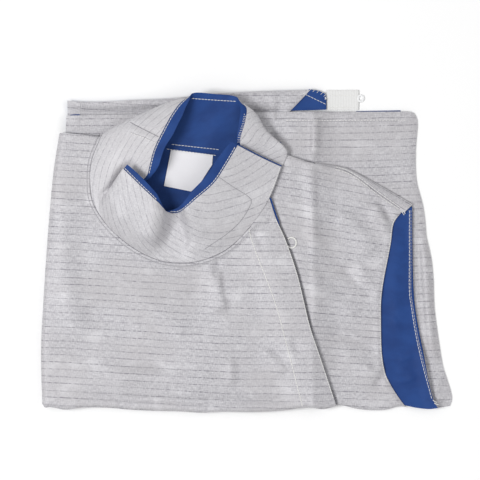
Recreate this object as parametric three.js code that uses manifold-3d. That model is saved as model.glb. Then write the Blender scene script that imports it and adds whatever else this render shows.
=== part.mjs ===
// Fencing lame, a sleeveless conductive over-jacket, lying folded on a table.
// Millimetres, +Z up. X runs across the folded pack, Y from the bottom fold to the hems,
// and the origin is under the middle of the pack. The collar leans back over the upper middle.
//
// The jacket lies on its back. Its lower half is folded under along the bottom fold, and then
// the wearer's right side is folded under along the left fold. So four panels cover the right
// part of the pack, and the left part has the folded side beneath them too.
import * as THREE from "three";
import { mergeVertices } from "three/addons/utils/BufferGeometryUtils.js";
import Module from "manifold-3d";

const wasm = await Module();
wasm.setup();

// Thicknesses and clearances
const WALL = 1.2;
const LINING_WALL = 1.0;
const GAP = 0.3;
const STEP = WALL + GAP;

// Middle heights of the panels where they lie straight on the table
const FRONT_LOWER_Z = WALL / 2;
const BACK_LOWER_Z = FRONT_LOWER_Z + STEP;
const BACK_UPPER_Z = BACK_LOWER_Z + STEP;
const LINING_Z = BACK_UPPER_Z + WALL / 2 + GAP + LINING_WALL / 2;
const FRONT_UPPER_Z = LINING_Z + LINING_WALL / 2 + GAP + WALL / 2;

// The folded side under the left part of the pack: a core of hidden layers and one open leaf
const CORE_BOTTOM = STEP;
const CORE_TOP = 4.7;
const LEAF_Z = CORE_TOP + GAP + WALL / 2;
const RISE = LEAF_Z + WALL / 2 + GAP;
const RISE_FROM_X = 94;
const RISE_TO_X = 64;

// The front overlap: the right front lies over a facing and the left front
const LAP_LIFT = 2 * GAP + WALL + LINING_WALL;
const LAP_WIDTH = 18;
const LAP_RAMP = 30;
const UNDERLAP = 16;
const FACING_WIDTH = 14;
const FACING_PROUD = 1.2;

// Rounded folds
const FOLD_ROUND = (FRONT_UPPER_Z - FRONT_LOWER_Z - STEP) / 2;
const BOTTOM_INSET = 5;
const SIDE_ROLL = 8;

// Stations of the right front's sections, and a box past its free edge
const SIDE_ARC_STEPS = 7;
const SIDE_ARC_FROM_X = -170;
const OVERLAP_CLEAR_X = 115;
const UNDERSIDE_X = [-120, -30, RISE_TO_X - 2];
const COLLAR_MIDDLE = new THREE.Vector2(-65, 60);
const PAST_OVERLAP = { left: 97, right: 150, bottom: -180 };
const BELOW_ALL = -5;
const ABOVE_ALL = 40;

// Small parts
const STRAP = { left: 80, right: 112, from: 140.6, to: 160, thick: 1.6 };
const STRAP_RING = { x: 116, y: 152, radius: 3.1, wire: 0.6 };
const THREAD_LOOP = { x: 46.4, y: 7.5, radius: 4.6, wire: 0.5 };
const COLLAR_HEIGHT = 55;
const COLLAR_BAND = 6;
const SEAM_ALLOWANCE = 6;

// Outlines in plan, each from its upper or left end on
const LEFT_FOLD = [
  { x: -188, y: 117 },
  { x: -194, y: 78 },
  { x: -200, y: 10 },
  { x: -204, y: -50 },
  { x: -206.5, y: -100 },
  { x: -205, y: -160 },
];
const BOTTOM_FOLD = [
  { x: -207, y: -158 },
  { x: -140, y: -158 },
  { x: -95, y: -161 },
  { x: -25, y: -163 },
  { x: 35, y: -161 },
  { x: 93, y: -156 },
  { x: 125, y: -161 },
  { x: 153, y: -157 },
  { x: 183, y: -161 },
  { x: 207, y: -157 },
];
const OVERLAP_EDGE = [
  { x: 22, y: 52 },
  { x: 38, y: 11 },
  { x: 50, y: -24 },
  { x: 63, y: -77 },
  { x: 90, y: -158 },
];
const NECK_SEAM = [
  { x: 22, y: 52 },
  { x: 3, y: 24 },
  { x: -21, y: 1 },
  { x: -51, y: -11 },
  { x: -82, y: -11 },
  { x: -107, y: -1 },
  { x: -129, y: 15 },
  { x: -145, y: 33 },
  { x: -154, y: 50 },
  { x: -156, y: 69 },
  { x: -154, y: 90 },
  { x: -144, y: 115 },
];
const SHOULDER_SEAM = [
  { x: 37, y: 96 },
  { x: 68, y: 86 },
  { x: 98, y: 79 },
  { x: 112, y: 71 },
  { x: 131, y: 56 },
  { x: 155, y: 38.5 },
];
const SHOULDER_FOLD = [
  { x: 37, y: 97.5 },
  { x: 68, y: 87.5 },
  { x: 98, y: 82.5 },
  { x: 112.5, y: 76 },
  { x: 134, y: 64 },
  { x: 166, y: 45.5 },
];
const ARMHOLE_FRONT = [
  { x: 155, y: 38.5 },
  { x: 147, y: 27 },
  { x: 144, y: 7 },
  { x: 135, y: -42 },
  { x: 134, y: -66 },
  { x: 138, y: -122 },
  { x: 154, y: -151 },
  { x: 160, y: -158 },
];
const ARMHOLE_BACK = [
  { x: 166, y: 44 },
  { x: 166, y: 10 },
  { x: 168, y: -51 },
  { x: 177, y: -103 },
  { x: 188, y: -152 },
  { x: 195, y: -162 },
];
const SIDE_FOLD = [
  { x: 171, y: 130 },
  { x: 169, y: 100 },
  { x: 170, y: 70 },
  { x: 177, y: 42 },
  { x: 182, y: 5 },
  { x: 187, y: -45 },
  { x: 194, y: -105 },
  { x: 206, y: -146 },
  { x: 204, y: -158 },
];
const BACK_HEM = [
  { x: -181, y: 134.5 },
  { x: 26, y: 138 },
  { x: 163, y: 139 },
];
const FRONT_HEM = [
  { x: -184, y: 135.3 },
  { x: -178, y: 136.3 },
  { x: 154, y: 140.3 },
];
const LEAF_HEM = [
  { x: -180, y: 150 },
  { x: -77, y: 151 },
  { x: -40, y: 156 },
  { x: 63, y: 160 },
];
const LABEL = [
  { x: -76, y: 100 },
  { x: -34, y: 95 },
  { x: -35, y: 85 },
  { x: -48, y: 65 },
  { x: -56, y: 58.5 },
  { x: -83, y: 64 },
];
const TURNED_CORNER = [
  { x: 42, y: 139.5 },
  { x: 62.5, y: 161.3 },
  { x: 78, y: 157 },
  { x: 79.6, y: 153 },
  { x: 79.6, y: 140.8 },
];

// Edges that other layers hide
const HIDDEN_END_Y = -150;
const LOWER_FRONT_SIDE_INSET = 14;
const UNDERLAP_CORNER = { x: 14, y: 66 };
const SHOULDER_CORNER = { x: 34, y: 84 };
const STRIP_END = { x: 157.5, y: 40 };
const LOWER_BACK_CORNER = { x: 168.5, y: 137 };
const LOWER_BACK_LEFT = { x: -182, y: 105 };
const UPPER_BACK_TOP = [
  { x: -150, y: 108 },
  { x: 34, y: 108 },
];
const INSIDE_SHOULDER_FOLD = { x: 1.5, y: 2.5 };
const INSIDE_ARMHOLE = { x: 0.6, y: 1.5 };
const ARMHOLE_TOP_Y = 40;
const ARMHOLE_LINING_CORNER = { x: 126, y: 30 };
const NECK_LINING = [
  { x: -112, y: 106 },
  { x: 28, y: 106 },
  { x: 12, y: 62 },
  { x: -30, y: 10 },
  { x: -70, y: 2 },
  { x: -110, y: 14 },
  { x: -128, y: 60 },
];
const LEAF_SIDES = [
  { x: 43, y: 139 },
  { x: 43, y: 60 },
  { x: -170, y: 60 },
  { x: -180, y: 120 },
];
const CORE_RIGHT = [
  { x: -178, y: 140 },
  { x: 58, y: 138 },
  { x: 60, y: 60 },
];
const CORE_LEFT = [
  { x: -197, y: -60 },
  { x: -190, y: 20 },
  { x: -182, y: 100 },
];
const CORE_MIDDLE = { x: -68, y: -10 };

// Where each layer starts and ends along the bottom fold
const SPAN = {
  leftFront: [160, 74],
  frontLower: [190, -190],
  backLower: [202, -190],
  backUpper: [187, -150],
  armholeLining: [186, 126],
  core: [60, -196],
};

// The collar: a band between the neck seam and its free edge. Each row is one section, with the
// point on the seam, the point half way up where the cloth bows, and the point on the free edge.
// The rows run from the free end of the right front, round the neck, to the end under the flap.
const COLLAR = [
  { seam: [34, 83, 17.6], bow: [12, 93, 25], edge: [-10, 104, 33] },
  { seam: [22, 52, 17.8], bow: [0, 68, 26], edge: [-21, 85, 34] },
  { seam: [3, 24, 17.8], bow: [-16, 44, 28], edge: [-34, 67, 35] },
  { seam: [-21, 1, 17.4], bow: [-36, 25, 28], edge: [-50, 52, 36] },
  { seam: [-51, -11, 15.6], bow: [-60, 12, 23], edge: [-67, 38, 34] },
  { seam: [-82, -11, 15.6], bow: [-84, 12, 20], edge: [-80, 38, 31] },
  { seam: [-107, -1, 15.6], bow: [-98, 15, 28], edge: [-88, 48, 40] },
  { seam: [-129, 15, 15.6], bow: [-120, 31, 30], edge: [-104, 65, 42] },
  { seam: [-145, 33, 15.6], bow: [-139, 46, 25], edge: [-118, 80, 37] },
  { seam: [-154, 50, 15.6], bow: [-139, 60, 22], edge: [-114, 88, 34] },
  { seam: [-156, 69, 15.6], bow: [-132, 75, 23], edge: [-104, 89, 31] },
  { seam: [-154, 90, 15.6], bow: [-126, 93, 25], edge: [-95, 98, 32] },
  { seam: [-144, 115, 15.4], bow: [-119, 125, 24], edge: [-83, 121, 33] },
  { seam: [-122, 112, 14.6], bow: [-98, 138, 21], edge: [-73, 141, 30] },
  { seam: [-100, 106, 14.4], bow: [-80, 140, 18], edge: [-64, 150, 27] },
  { seam: [-79, 103, 14.4], bow: [-64, 130, 16], edge: [-56, 152, 23] },
  { seam: [-54, 100, 14.4], bow: [-43, 128, 15], edge: [-33, 152, 20] },
  { seam: [-28, 96, 14.4], bow: [-16, 124, 15], edge: [-11, 147, 21] },
  { seam: [-6, 95, 14.4], bow: [10, 126, 18], edge: [-1, 142, 26] },
  { seam: [16, 97, 14.6], bow: [24, 117, 20], edge: [-2, 128, 28] },
  { seam: [38, 95, 14.8], bow: [35, 102, 19.5], edge: [-7, 111, 26] },
];
const RIGHT_COLLAR_ROWS = { from: 0, to: 12 };
const BACK_COLLAR_ROWS = { from: 12, to: 18 };
const LEFT_COLLAR_ROWS = { from: 18, to: 20 };

const silver = new THREE.MeshStandardMaterial({ color: 0xbebdc1, roughness: 0.55, metalness: 0.35 });
const blue = new THREE.MeshStandardMaterial({ color: 0x2f457d, roughness: 0.6, metalness: 0 });
const white = new THREE.MeshStandardMaterial({ color: 0xe6e6ea, roughness: 0.8, metalness: 0 });
const clear = new THREE.MeshStandardMaterial({ color: 0xe9ecee, roughness: 0.25, metalness: 0 });

const smooth = (t) => THREE.MathUtils.smoothstep(t, 0, 1);

/** Value of column `to` where column `from` of a table is `at`, held at the table's ends. */
function along(table, from, to, at) {
  const rows = [...table].sort((a, b) => a[from] - b[from]);
  const next = rows.findIndex((row) => row[from] > at);
  if (next === 0) return rows[0][to];
  if (next < 0) return rows[rows.length - 1][to];
  const [a, b] = [rows[next - 1], rows[next]];
  return THREE.MathUtils.lerp(a[to], b[to], (at - a[from]) / (b[from] - a[from]));
}

const bottomAt = (x) => along(BOTTOM_FOLD, "x", "y", x);
const riseAt = (x) => RISE * smooth((RISE_FROM_X - x) / (RISE_FROM_X - RISE_TO_X));

/** How far a rounded fold falls at a distance from its outermost line. */
function foldDrop(distance) {
  const inside = Math.max(0, FOLD_ROUND - Math.max(0, distance));
  return FOLD_ROUND - Math.sqrt(FOLD_ROUND ** 2 - inside ** 2);
}

/** Lift of the right front where it lies over the facing and the left front. */
function lapAt(x, y) {
  const inside = along(OVERLAP_EDGE, "y", "x", y) - x;
  return LAP_LIFT * smooth(1 - (inside - LAP_WIDTH) / LAP_RAMP);
}

// The panels share one net of stations, so that layers on each other stay parallel
const TOP_Y = 165;
const X_STATIONS = [-210, -190, -60];
for (let x = -30; x < RISE_TO_X; x += 14) X_STATIONS.push(x);
for (let x = RISE_TO_X; x <= RISE_FROM_X; x += 5) X_STATIONS.push(x);
for (const { x } of BOTTOM_FOLD) X_STATIONS.push(x);
for (let x = 162; x <= 210; x += 8) X_STATIONS.push(x);
const X_LINES = [...new Set(X_STATIONS)].sort((a, b) => a - b);
const ROWS_INSIDE = 9;
const EDGE_ROWS = [5, FOLD_ROUND, 0.3 * FOLD_ROUND, 0];

/** Y of each row of the net at x, from the top down to the bottom fold. */
function rowsAt(x) {
  const bottom = bottomAt(x);
  const rows = [];
  for (let i = 0; i < ROWS_INSIDE; i++) {
    rows.push(THREE.MathUtils.lerp(TOP_Y, bottom + EDGE_ROWS[0], i / ROWS_INSIDE));
  }
  for (const inset of EDGE_ROWS) rows.push(bottom + inset);
  return rows;
}

/** Closed solid from two grids of points with the same rows and columns. */
function solidBetween(outer, inner) {
  const rows = outer.length;
  const columns = outer[0].length;
  const positions = [...outer.flat(), ...inner.flat()].flatMap((p) => [p.x, p.y, p.z]);
  const indices = [];
  const at = (layer, row, column) => layer * rows * columns + row * columns + column;
  const quad = (a, b, c, d) => indices.push(a, b, c, a, c, d);
  for (let i = 0; i + 1 < rows; i++) {
    for (let j = 0; j + 1 < columns; j++) {
      quad(at(0, i, j), at(0, i + 1, j), at(0, i + 1, j + 1), at(0, i, j + 1));
      quad(at(1, i, j), at(1, i, j + 1), at(1, i + 1, j + 1), at(1, i + 1, j));
    }
  }
  const last = columns - 1;
  for (let i = 0; i + 1 < rows; i++) {
    quad(at(0, i, 0), at(1, i, 0), at(1, i + 1, 0), at(0, i + 1, 0));
    quad(at(0, i, last), at(0, i + 1, last), at(1, i + 1, last), at(1, i, last));
  }
  for (let j = 0; j + 1 < columns; j++) {
    quad(at(0, 0, j), at(0, 0, j + 1), at(1, 0, j + 1), at(1, 0, j));
    quad(at(0, rows - 1, j), at(1, rows - 1, j), at(1, rows - 1, j + 1), at(0, rows - 1, j + 1));
  }
  const geometry = new THREE.BufferGeometry();
  geometry.setAttribute("position", new THREE.Float32BufferAttribute(positions, 3));
  geometry.setIndex(indices);
  return geometry;
}

/** A three.js geometry as a solid that can be joined and cut. */
function toSolid(geometry) {
  const bare = geometry.clone();
  bare.deleteAttribute("normal");
  bare.deleteAttribute("uv");
  const merged = mergeVertices(bare, 1e-4);
  return new wasm.Manifold(
    new wasm.Mesh({
      numProp: 3,
      vertProperties: new Float32Array(merged.attributes.position.array),
      triVerts: new Uint32Array(merged.index.array),
    }),
  );
}

/** A solid as a three.js geometry. */
function toGeometry(solid) {
  const mesh = solid.getMesh();
  const geometry = new THREE.BufferGeometry();
  geometry.setAttribute("position", new THREE.BufferAttribute(mesh.vertProperties, 3));
  geometry.setIndex(new THREE.BufferAttribute(mesh.triVerts, 1));
  return geometry;
}

/** Upright prism over a closed outline, from one height to another. */
function prism(outline, low, high) {
  const shape = new THREE.Shape(outline.map((p) => new THREE.Vector2(p.x, p.y)));
  const geometry = new THREE.ExtrudeGeometry(shape, { depth: high - low, bevelEnabled: false });
  return toSolid(geometry.translate(0, 0, low));
}

/** A table's points joined by a soft curve, as a list of points. */
function softLine(table, perSpan = 3) {
  const curve = new THREE.SplineCurve(table.map((p) => new THREE.Vector2(p.x, p.y)));
  return curve.getPoints(perSpan * (table.length - 1));
}

/** A panel of cloth: the shared net at the panel's height, cut to its outline. */
function panel(outline, heightAt, wall) {
  const grid = (offset) =>
    rowsAt(0).map((_, i) =>
      X_LINES.map((x) => {
        const y = rowsAt(x)[i];
        return new THREE.Vector3(x, y, heightAt(x, y) + offset);
      }),
    );
  const slab = toSolid(solidBetween(grid(wall / 2), grid(-wall / 2)));
  return toGeometry(slab.intersect(prism(outline, BELOW_ALL, ABOVE_ALL)));
}

/** The bottom fold from one x to another, moved up by an inset. */
function bottomLine(fromX, toX, inset) {
  const ends = [fromX, toX].map((x) => ({ x, y: bottomAt(x) + inset }));
  const [low, high] = [Math.min(fromX, toX), Math.max(fromX, toX)];
  const between = BOTTOM_FOLD.filter((p) => p.x > low && p.x < high);
  const line = between.map((p) => ({ x: p.x, y: p.y + inset }));
  if (fromX > toX) line.reverse();
  return [ends[0], ...line, ends[1]];
}

/** The right front's section at y: its places, each with the way that the cloth faces. */
function rightFrontSection(y) {
  const radius = (FRONT_UPPER_Z + RISE - FRONT_LOWER_Z) / 2;
  const centre = along(LEFT_FOLD, "y", "x", y) + WALL / 2 + radius;
  const over = X_LINES.filter((x) => x > SIDE_ARC_FROM_X && x < OVERLAP_CLEAR_X).reverse();
  const points = over.map((x) => ({ x, z: FRONT_UPPER_Z + riseAt(x) + lapAt(x, y), out: [0, 1] }));
  for (let k = 0; k <= SIDE_ARC_STEPS; k++) {
    const turn = (Math.PI * k) / SIDE_ARC_STEPS;
    const out = [-Math.sin(turn), Math.cos(turn)];
    const z = FRONT_LOWER_Z + radius + radius * out[1];
    points.push({ x: centre + radius * out[0], z, out });
  }
  for (const x of UNDERSIDE_X) points.push({ x, z: FRONT_LOWER_Z, out: [0, -1] });
  return points;
}

/** The right front's net at a distance off its middle surface, from the top of the left fold down. */
function rightFrontNet(offset) {
  const top = LEFT_FOLD[0].y;
  const columns = rightFrontSection(0);
  const rows = rowsAt(0);
  const first = rows.findIndex((_, i) => rows[i + 1] < top);
  const net = [];
  for (let i = first; i < rows.length; i++) {
    const line = columns.map(({ x }, j) => {
      const y = Math.min(rowsAt(x)[i], top);
      const point = rightFrontSection(y)[j];
      const inset = offset - foldDrop(y - bottomAt(x));
      return new THREE.Vector3(point.x + inset * point.out[0], y, point.z + inset * point.out[1]);
    });
    net.push(line.reverse());
  }
  return net;
}

// Right front: over the top, round the left fold and along the underside
function rightFront() {
  const shell = toSolid(solidBetween(rightFrontNet(WALL / 2), rightFrontNet(-WALL / 2)));
  const neck = softLine(NECK_SEAM).map((p) => {
    const inward = COLLAR_MIDDLE.clone().sub(p).setLength(SEAM_ALLOWANCE);
    return p.clone().add(inward);
  });
  const cutAway = [
    ...softLine(OVERLAP_EDGE).reverse(),
    ...neck,
    { x: neck[neck.length - 1].x, y: TOP_Y },
    { x: PAST_OVERLAP.right, y: TOP_Y },
    { x: PAST_OVERLAP.right, y: PAST_OVERLAP.bottom },
    { x: PAST_OVERLAP.left, y: PAST_OVERLAP.bottom },
  ];
  return toGeometry(shell.subtract(prism(cutAway, FRONT_LOWER_Z + STEP, ABOVE_ALL)));
}

// Left front: from under the overlap to the armhole
function leftFront() {
  const underlap = softLine(OVERLAP_EDGE).map((p) => ({ x: p.x - UNDERLAP, y: p.y }));
  const outline = [
    SHOULDER_CORNER,
    ...softLine(SHOULDER_SEAM),
    ...softLine(ARMHOLE_FRONT).slice(1, -1),
    ...bottomLine(...SPAN.leftFront, 0),
    ...underlap.reverse().filter((p) => p.y > HIDDEN_END_Y),
    UNDERLAP_CORNER,
  ];
  const height = (x, y) => FRONT_UPPER_Z + riseAt(x) - foldDrop(y - bottomAt(x));
  return panel(outline, height, WALL);
}

// Facing under the edge of the overlap
function overlapFacing() {
  const edge = softLine(OVERLAP_EDGE).filter((p) => p.y > HIDDEN_END_Y);
  const outline = [
    ...edge.map((p) => ({ x: p.x + FACING_PROUD, y: p.y })),
    ...[...edge].reverse().map((p) => ({ x: p.x - FACING_WIDTH, y: p.y })),
  ];
  const lift = WALL / 2 + GAP + LINING_WALL / 2;
  return panel(outline, (x) => FRONT_UPPER_Z + riseAt(x) + lift, LINING_WALL);
}

// Lower front: under the lower back, with the conductive side down
function lowerFront() {
  const inside = softLine(SIDE_FOLD).map((p) => ({ x: p.x - LOWER_FRONT_SIDE_INSET, y: p.y }));
  const outline = [
    ...FRONT_HEM,
    ...inside.filter((p) => p.y > HIDDEN_END_Y),
    ...bottomLine(...SPAN.frontLower, 0),
  ];
  const height = (x, y) => FRONT_LOWER_Z + riseAt(x) + foldDrop(y - bottomAt(x));
  return panel(outline, height, WALL);
}

// Lower back: the hem, the right border and what lies under the upper panels
function lowerBack() {
  const outline = [
    ...softLine(BACK_HEM),
    LOWER_BACK_CORNER,
    ...softLine(SIDE_FOLD).filter((p) => p.y > HIDDEN_END_Y - 2),
    ...bottomLine(...SPAN.backLower, BOTTOM_INSET),
    LOWER_BACK_LEFT,
  ];
  const height = (x, y) => {
    const overSide = x - (along(SIDE_FOLD, "y", "x", y) - SIDE_ROLL);
    return BACK_LOWER_Z + riseAt(x) - STEP * smooth(overSide / SIDE_ROLL);
  };
  return panel(outline, height, WALL);
}

// Upper back: its inside shows at the neck and the armhole
function upperBack() {
  const outline = [
    ...UPPER_BACK_TOP,
    ...softLine(SHOULDER_FOLD).map((p) => p.clone().sub(INSIDE_SHOULDER_FOLD)),
    ...softLine(ARMHOLE_BACK).filter((p) => p.y < ARMHOLE_TOP_Y && p.y > HIDDEN_END_Y),
    ...bottomLine(...SPAN.backUpper, BOTTOM_INSET),
  ];
  return panel(outline, (x) => BACK_UPPER_Z + riseAt(x), WALL);
}

// The back's strip that comes over the shoulder to the seam on the front
function shoulderStrip() {
  const fold = softLine(SHOULDER_FOLD);
  const seam = softLine(SHOULDER_SEAM);
  const outline = [
    ...fold.slice(3),
    STRIP_END,
    ...[...seam].reverse().slice(0, -4).map((p) => ({ x: p.x + 0.2, y: p.y + GAP })),
  ];
  return panel(outline, (x) => FRONT_UPPER_Z + riseAt(x), WALL);
}

// The linings that show in the armhole and in the neck
function armholeLining() {
  const hole = softLine(ARMHOLE_BACK).filter((p) => p.y > HIDDEN_END_Y + 2);
  const outline = [
    ARMHOLE_LINING_CORNER,
    ...hole.map((p) => p.clone().sub(INSIDE_ARMHOLE)),
    ...bottomLine(...SPAN.armholeLining, BOTTOM_INSET),
  ];
  return panel(outline, (x) => LINING_Z + riseAt(x), LINING_WALL);
}

function neckLining() {
  return panel(NECK_LINING, (x) => LINING_Z + riseAt(x), LINING_WALL);
}

// The folded side: hidden layers as one rounded solid with a groove at each layer
function foldedCore() {
  const layers = 3;
  const grooveDepth = 0.9;
  const round = 1.6;
  const profile = [];
  const perLayer = (CORE_TOP - CORE_BOTTOM) / layers;
  for (let k = 0; k < layers; k++) {
    const low = CORE_BOTTOM + k * perLayer;
    profile.push({ z: low, inset: k ? grooveDepth : round });
    for (const share of [0.35, 0.65]) profile.push({ z: low + perLayer * share, inset: 0 });
  }
  profile.push({ z: CORE_TOP, inset: round });
  const rim = [...CORE_RIGHT, ...bottomLine(...SPAN.core, BOTTOM_INSET), ...CORE_LEFT];
  const rings = profile.map(({ z, inset }) =>
    rim.map((p) => {
      const away = new THREE.Vector2(p.x - CORE_MIDDLE.x, p.y - CORE_MIDDLE.y);
      away.setLength(away.length() - inset);
      return new THREE.Vector3(CORE_MIDDLE.x + away.x, CORE_MIDDLE.y + away.y, z);
    }),
  );
  const positions = rings.flat();
  for (const z of [CORE_BOTTOM, CORE_TOP]) {
    positions.push(new THREE.Vector3(CORE_MIDDLE.x, CORE_MIDDLE.y, z));
  }
  const [bottomCentre, topCentre] = [positions.length - 2, positions.length - 1];
  const lastRing = (rings.length - 1) * rim.length;
  const indices = [];
  for (let j = 0; j < rim.length; j++) {
    const next = (j + 1) % rim.length;
    for (let i = 0; i + 1 < rings.length; i++) {
      const [a, b] = [i * rim.length + j, i * rim.length + next];
      indices.push(a, a + rim.length, b, b, a + rim.length, b + rim.length);
    }
    indices.push(bottomCentre, j, next);
    indices.push(topCentre, lastRing + next, lastRing + j);
  }
  const geometry = new THREE.BufferGeometry();
  const values = positions.flatMap((p) => [p.x, p.y, p.z]);
  geometry.setAttribute("position", new THREE.Float32BufferAttribute(values, 3));
  geometry.setIndex(indices);
  return geometry;
}

// The leaf of the folded side that shows above the hem of the back
function foldedLeaf() {
  const outline = [
    ...softLine(LEAF_HEM),
    ...LEAF_SIDES,
  ];
  return panel(outline, () => LEAF_Z, WALL);
}

// The corner of the next leaf, turned so that its lining shows
function turnedCorner() {
  return panel(TURNED_CORNER, () => LEAF_Z - STEP, WALL);
}

function label() {
  const lift = LINING_WALL + GAP;
  return panel(LABEL, (x) => LINING_Z + riseAt(x) + lift, LINING_WALL);
}

const LAST_ROW = COLLAR.length - 1;
const collarLines = ["seam", "bow", "edge"].map((column) => {
  const points = COLLAR.map((section) => new THREE.Vector3(...section[column]));
  return new THREE.CatmullRomCurve3(points, false, "centripetal");
});

/** Point of the collar's middle surface: `row` counts sections, `height` is 0 at the seam. */
function collarPoint(row, height) {
  const [seam, bow, edge] = collarLines.map((line) => line.getPoint(row / LAST_ROW));
  const a = 2 * (height - 0.5) * (height - 1);
  const b = 4 * height * (1 - height);
  const c = 2 * height * (height - 0.5);
  return seam.multiplyScalar(a).addScaledVector(bow, b).addScaledVector(edge, c);
}

/** One wall of the collar between two rows, from one distance off the middle surface to another. */
function collarWall({ from, to }, near, far, heights) {
  const perRow = 2;
  const delta = 0.02;
  const softTurn = 0.6;
  const sectionGap = 0.04;
  const grid = (distance) => {
    const lines = [];
    for (const height of heights) {
      const line = [];
      for (let i = from * perRow; i <= to * perRow; i++) {
        const trim = i === from * perRow && from > 0 ? sectionGap : 0;
        const row = i / perRow + trim;
        const point = collarPoint(row, height);
        const ahead = collarPoint(Math.min(row + softTurn, LAST_ROW), height);
        const behind = collarPoint(Math.max(row - softTurn, 0), height);
        const alongRow = ahead.sub(behind);
        const upWall = collarPoint(row, height + delta).sub(collarPoint(row, height - delta));
        const normal = upWall.cross(alongRow).normalize();
        line.push(point.addScaledVector(normal, distance));
      }
      lines.push(line);
    }
    return lines;
  };
  return solidBetween(grid(far), grid(near));
}

const OUTER_NEAR = GAP / 2;
const OUTER_FAR = OUTER_NEAR + WALL;
const LINING_FAR = -(GAP / 2 + LINING_WALL);
const OUTER_HEIGHTS = [0, 0.17, 0.34, 0.5, 0.66, 0.83, 1];
const LINING_HEIGHTS = [...OUTER_HEIGHTS, 1 + COLLAR_BAND / COLLAR_HEIGHT];

function crotchStrap() {
  const { left, right, from, to, thick } = STRAP;
  const geometry = new THREE.BoxGeometry(right - left, to - from, thick);
  return geometry.translate((left + right) / 2, (from + to) / 2, thick / 2);
}

function wireRing({ radius, wire }) {
  return new THREE.TorusGeometry(radius, wire, 6, 16);
}

const pieces = [
  ["front_right", rightFront(), silver],
  ["front_left", leftFront(), silver],
  ["front_overlap_facing", overlapFacing(), blue],
  ["front_lower", lowerFront(), silver],
  ["back_lower", lowerBack(), silver],
  ["back_upper", upperBack(), silver],
  ["back_shoulder_strip", shoulderStrip(), silver],
  ["armhole_lining", armholeLining(), blue],
  ["neck_lining", neckLining(), blue],
  ["folded_side_core", foldedCore(), silver],
  ["folded_side_leaf", foldedLeaf(), silver],
  ["turned_hem_lining", turnedCorner(), blue],
  ["size_label", label(), white],
  ["crotch_strap", crotchStrap(), white],
];

for (const [side, rows] of Object.entries({
  right: RIGHT_COLLAR_ROWS,
  back: BACK_COLLAR_ROWS,
  left: LEFT_COLLAR_ROWS,
})) {
  pieces.push([`collar_${side}_outer`, collarWall(rows, OUTER_NEAR, OUTER_FAR, OUTER_HEIGHTS), silver]);
  pieces.push([`collar_${side}_lining`, collarWall(rows, LINING_FAR, -OUTER_NEAR, LINING_HEIGHTS), blue]);
}

const fencingLame = new THREE.Group();
for (const [name, geometry, material] of pieces) {
  const mesh = new THREE.Mesh(geometry, material);
  mesh.name = name;
  fencingLame.add(mesh);
}

const strapRing = new THREE.Mesh(wireRing(STRAP_RING), clear);
strapRing.name = "strap_ring";
strapRing.position.set(STRAP_RING.x, STRAP_RING.y, STRAP_RING.wire);
fencingLame.add(strapRing);

const threadLoop = new THREE.Mesh(wireRing(THREAD_LOOP), white);
threadLoop.name = "thread_loop";
const loopBed = FRONT_UPPER_Z + RISE + WALL / 2 + GAP;
threadLoop.position.set(THREAD_LOOP.x, THREAD_LOOP.y, loopBed + THREAD_LOOP.wire);
fencingLame.add(threadLoop);

// The origin goes under the middle of the pack
const middle = new THREE.Box3().setFromObject(fencingLame).getCenter(new THREE.Vector3());
for (const mesh of fencingLame.children) {
  mesh.position.x -= middle.x;
  mesh.position.y -= middle.y;
}

export default fencingLame;
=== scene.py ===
# %% [markdown]
# # A fencing lame, folded on a table
# The garment is a sleeveless metallic jacket with a blue nylon lining. It lies on its back, its
# lower half is folded under, and one side is folded under again. This notebook makes the cloth
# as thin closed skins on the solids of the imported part. All sizes below are in millimetres, in
# the frame that the pattern was drawn in, and one function takes them to the part's metres.

# %% Load the frame
import math

import bpy
import numpy as np
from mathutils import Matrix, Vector, kdtree
from mathutils.bvhtree import BVHTree
from mathutils.geometry import delaunay_2d_cdt


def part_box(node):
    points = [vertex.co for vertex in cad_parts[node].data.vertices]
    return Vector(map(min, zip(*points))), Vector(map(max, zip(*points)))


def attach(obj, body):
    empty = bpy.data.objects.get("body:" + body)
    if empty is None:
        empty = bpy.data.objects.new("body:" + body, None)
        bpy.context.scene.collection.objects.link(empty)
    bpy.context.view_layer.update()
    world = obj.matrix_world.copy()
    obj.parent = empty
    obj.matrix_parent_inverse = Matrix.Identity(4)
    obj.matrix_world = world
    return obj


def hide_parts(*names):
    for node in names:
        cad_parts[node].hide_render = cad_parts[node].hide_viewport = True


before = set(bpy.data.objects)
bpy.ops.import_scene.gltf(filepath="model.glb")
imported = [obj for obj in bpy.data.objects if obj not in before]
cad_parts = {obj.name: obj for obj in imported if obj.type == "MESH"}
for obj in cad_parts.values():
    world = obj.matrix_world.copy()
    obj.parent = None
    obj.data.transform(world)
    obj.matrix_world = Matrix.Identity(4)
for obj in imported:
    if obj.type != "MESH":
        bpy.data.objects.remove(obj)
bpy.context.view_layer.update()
MM = 0.001
STRAP_LEFT, STRAP_FROM = 80.0, 140.6
strap_low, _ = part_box("crotch_strap")
PATTERN_ZERO = np.array([strap_low.x / MM - STRAP_LEFT, strap_low.y / MM - STRAP_FROM, 0.0])
print("pattern zero in the part's frame, mm:", PATTERN_ZERO.round(3))

# %% [markdown]
# ## Camera and light
# The garment was looked at from straight above, so the camera hangs over the middle of the view
# and looks down. A long lens from far away keeps the raised collar nearly free of perspective.
# One large soft lamp at the left shades the creases, and a pale world fills the rest.

# %% Camera
VIEW_SIDE = 0.480
VIEW_DISTANCE = 2.6
VIEW_MIDDLE = (-0.00706, 0.01085)
CLOTH_TOP = 0.012
SENSOR = 36.0

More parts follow.
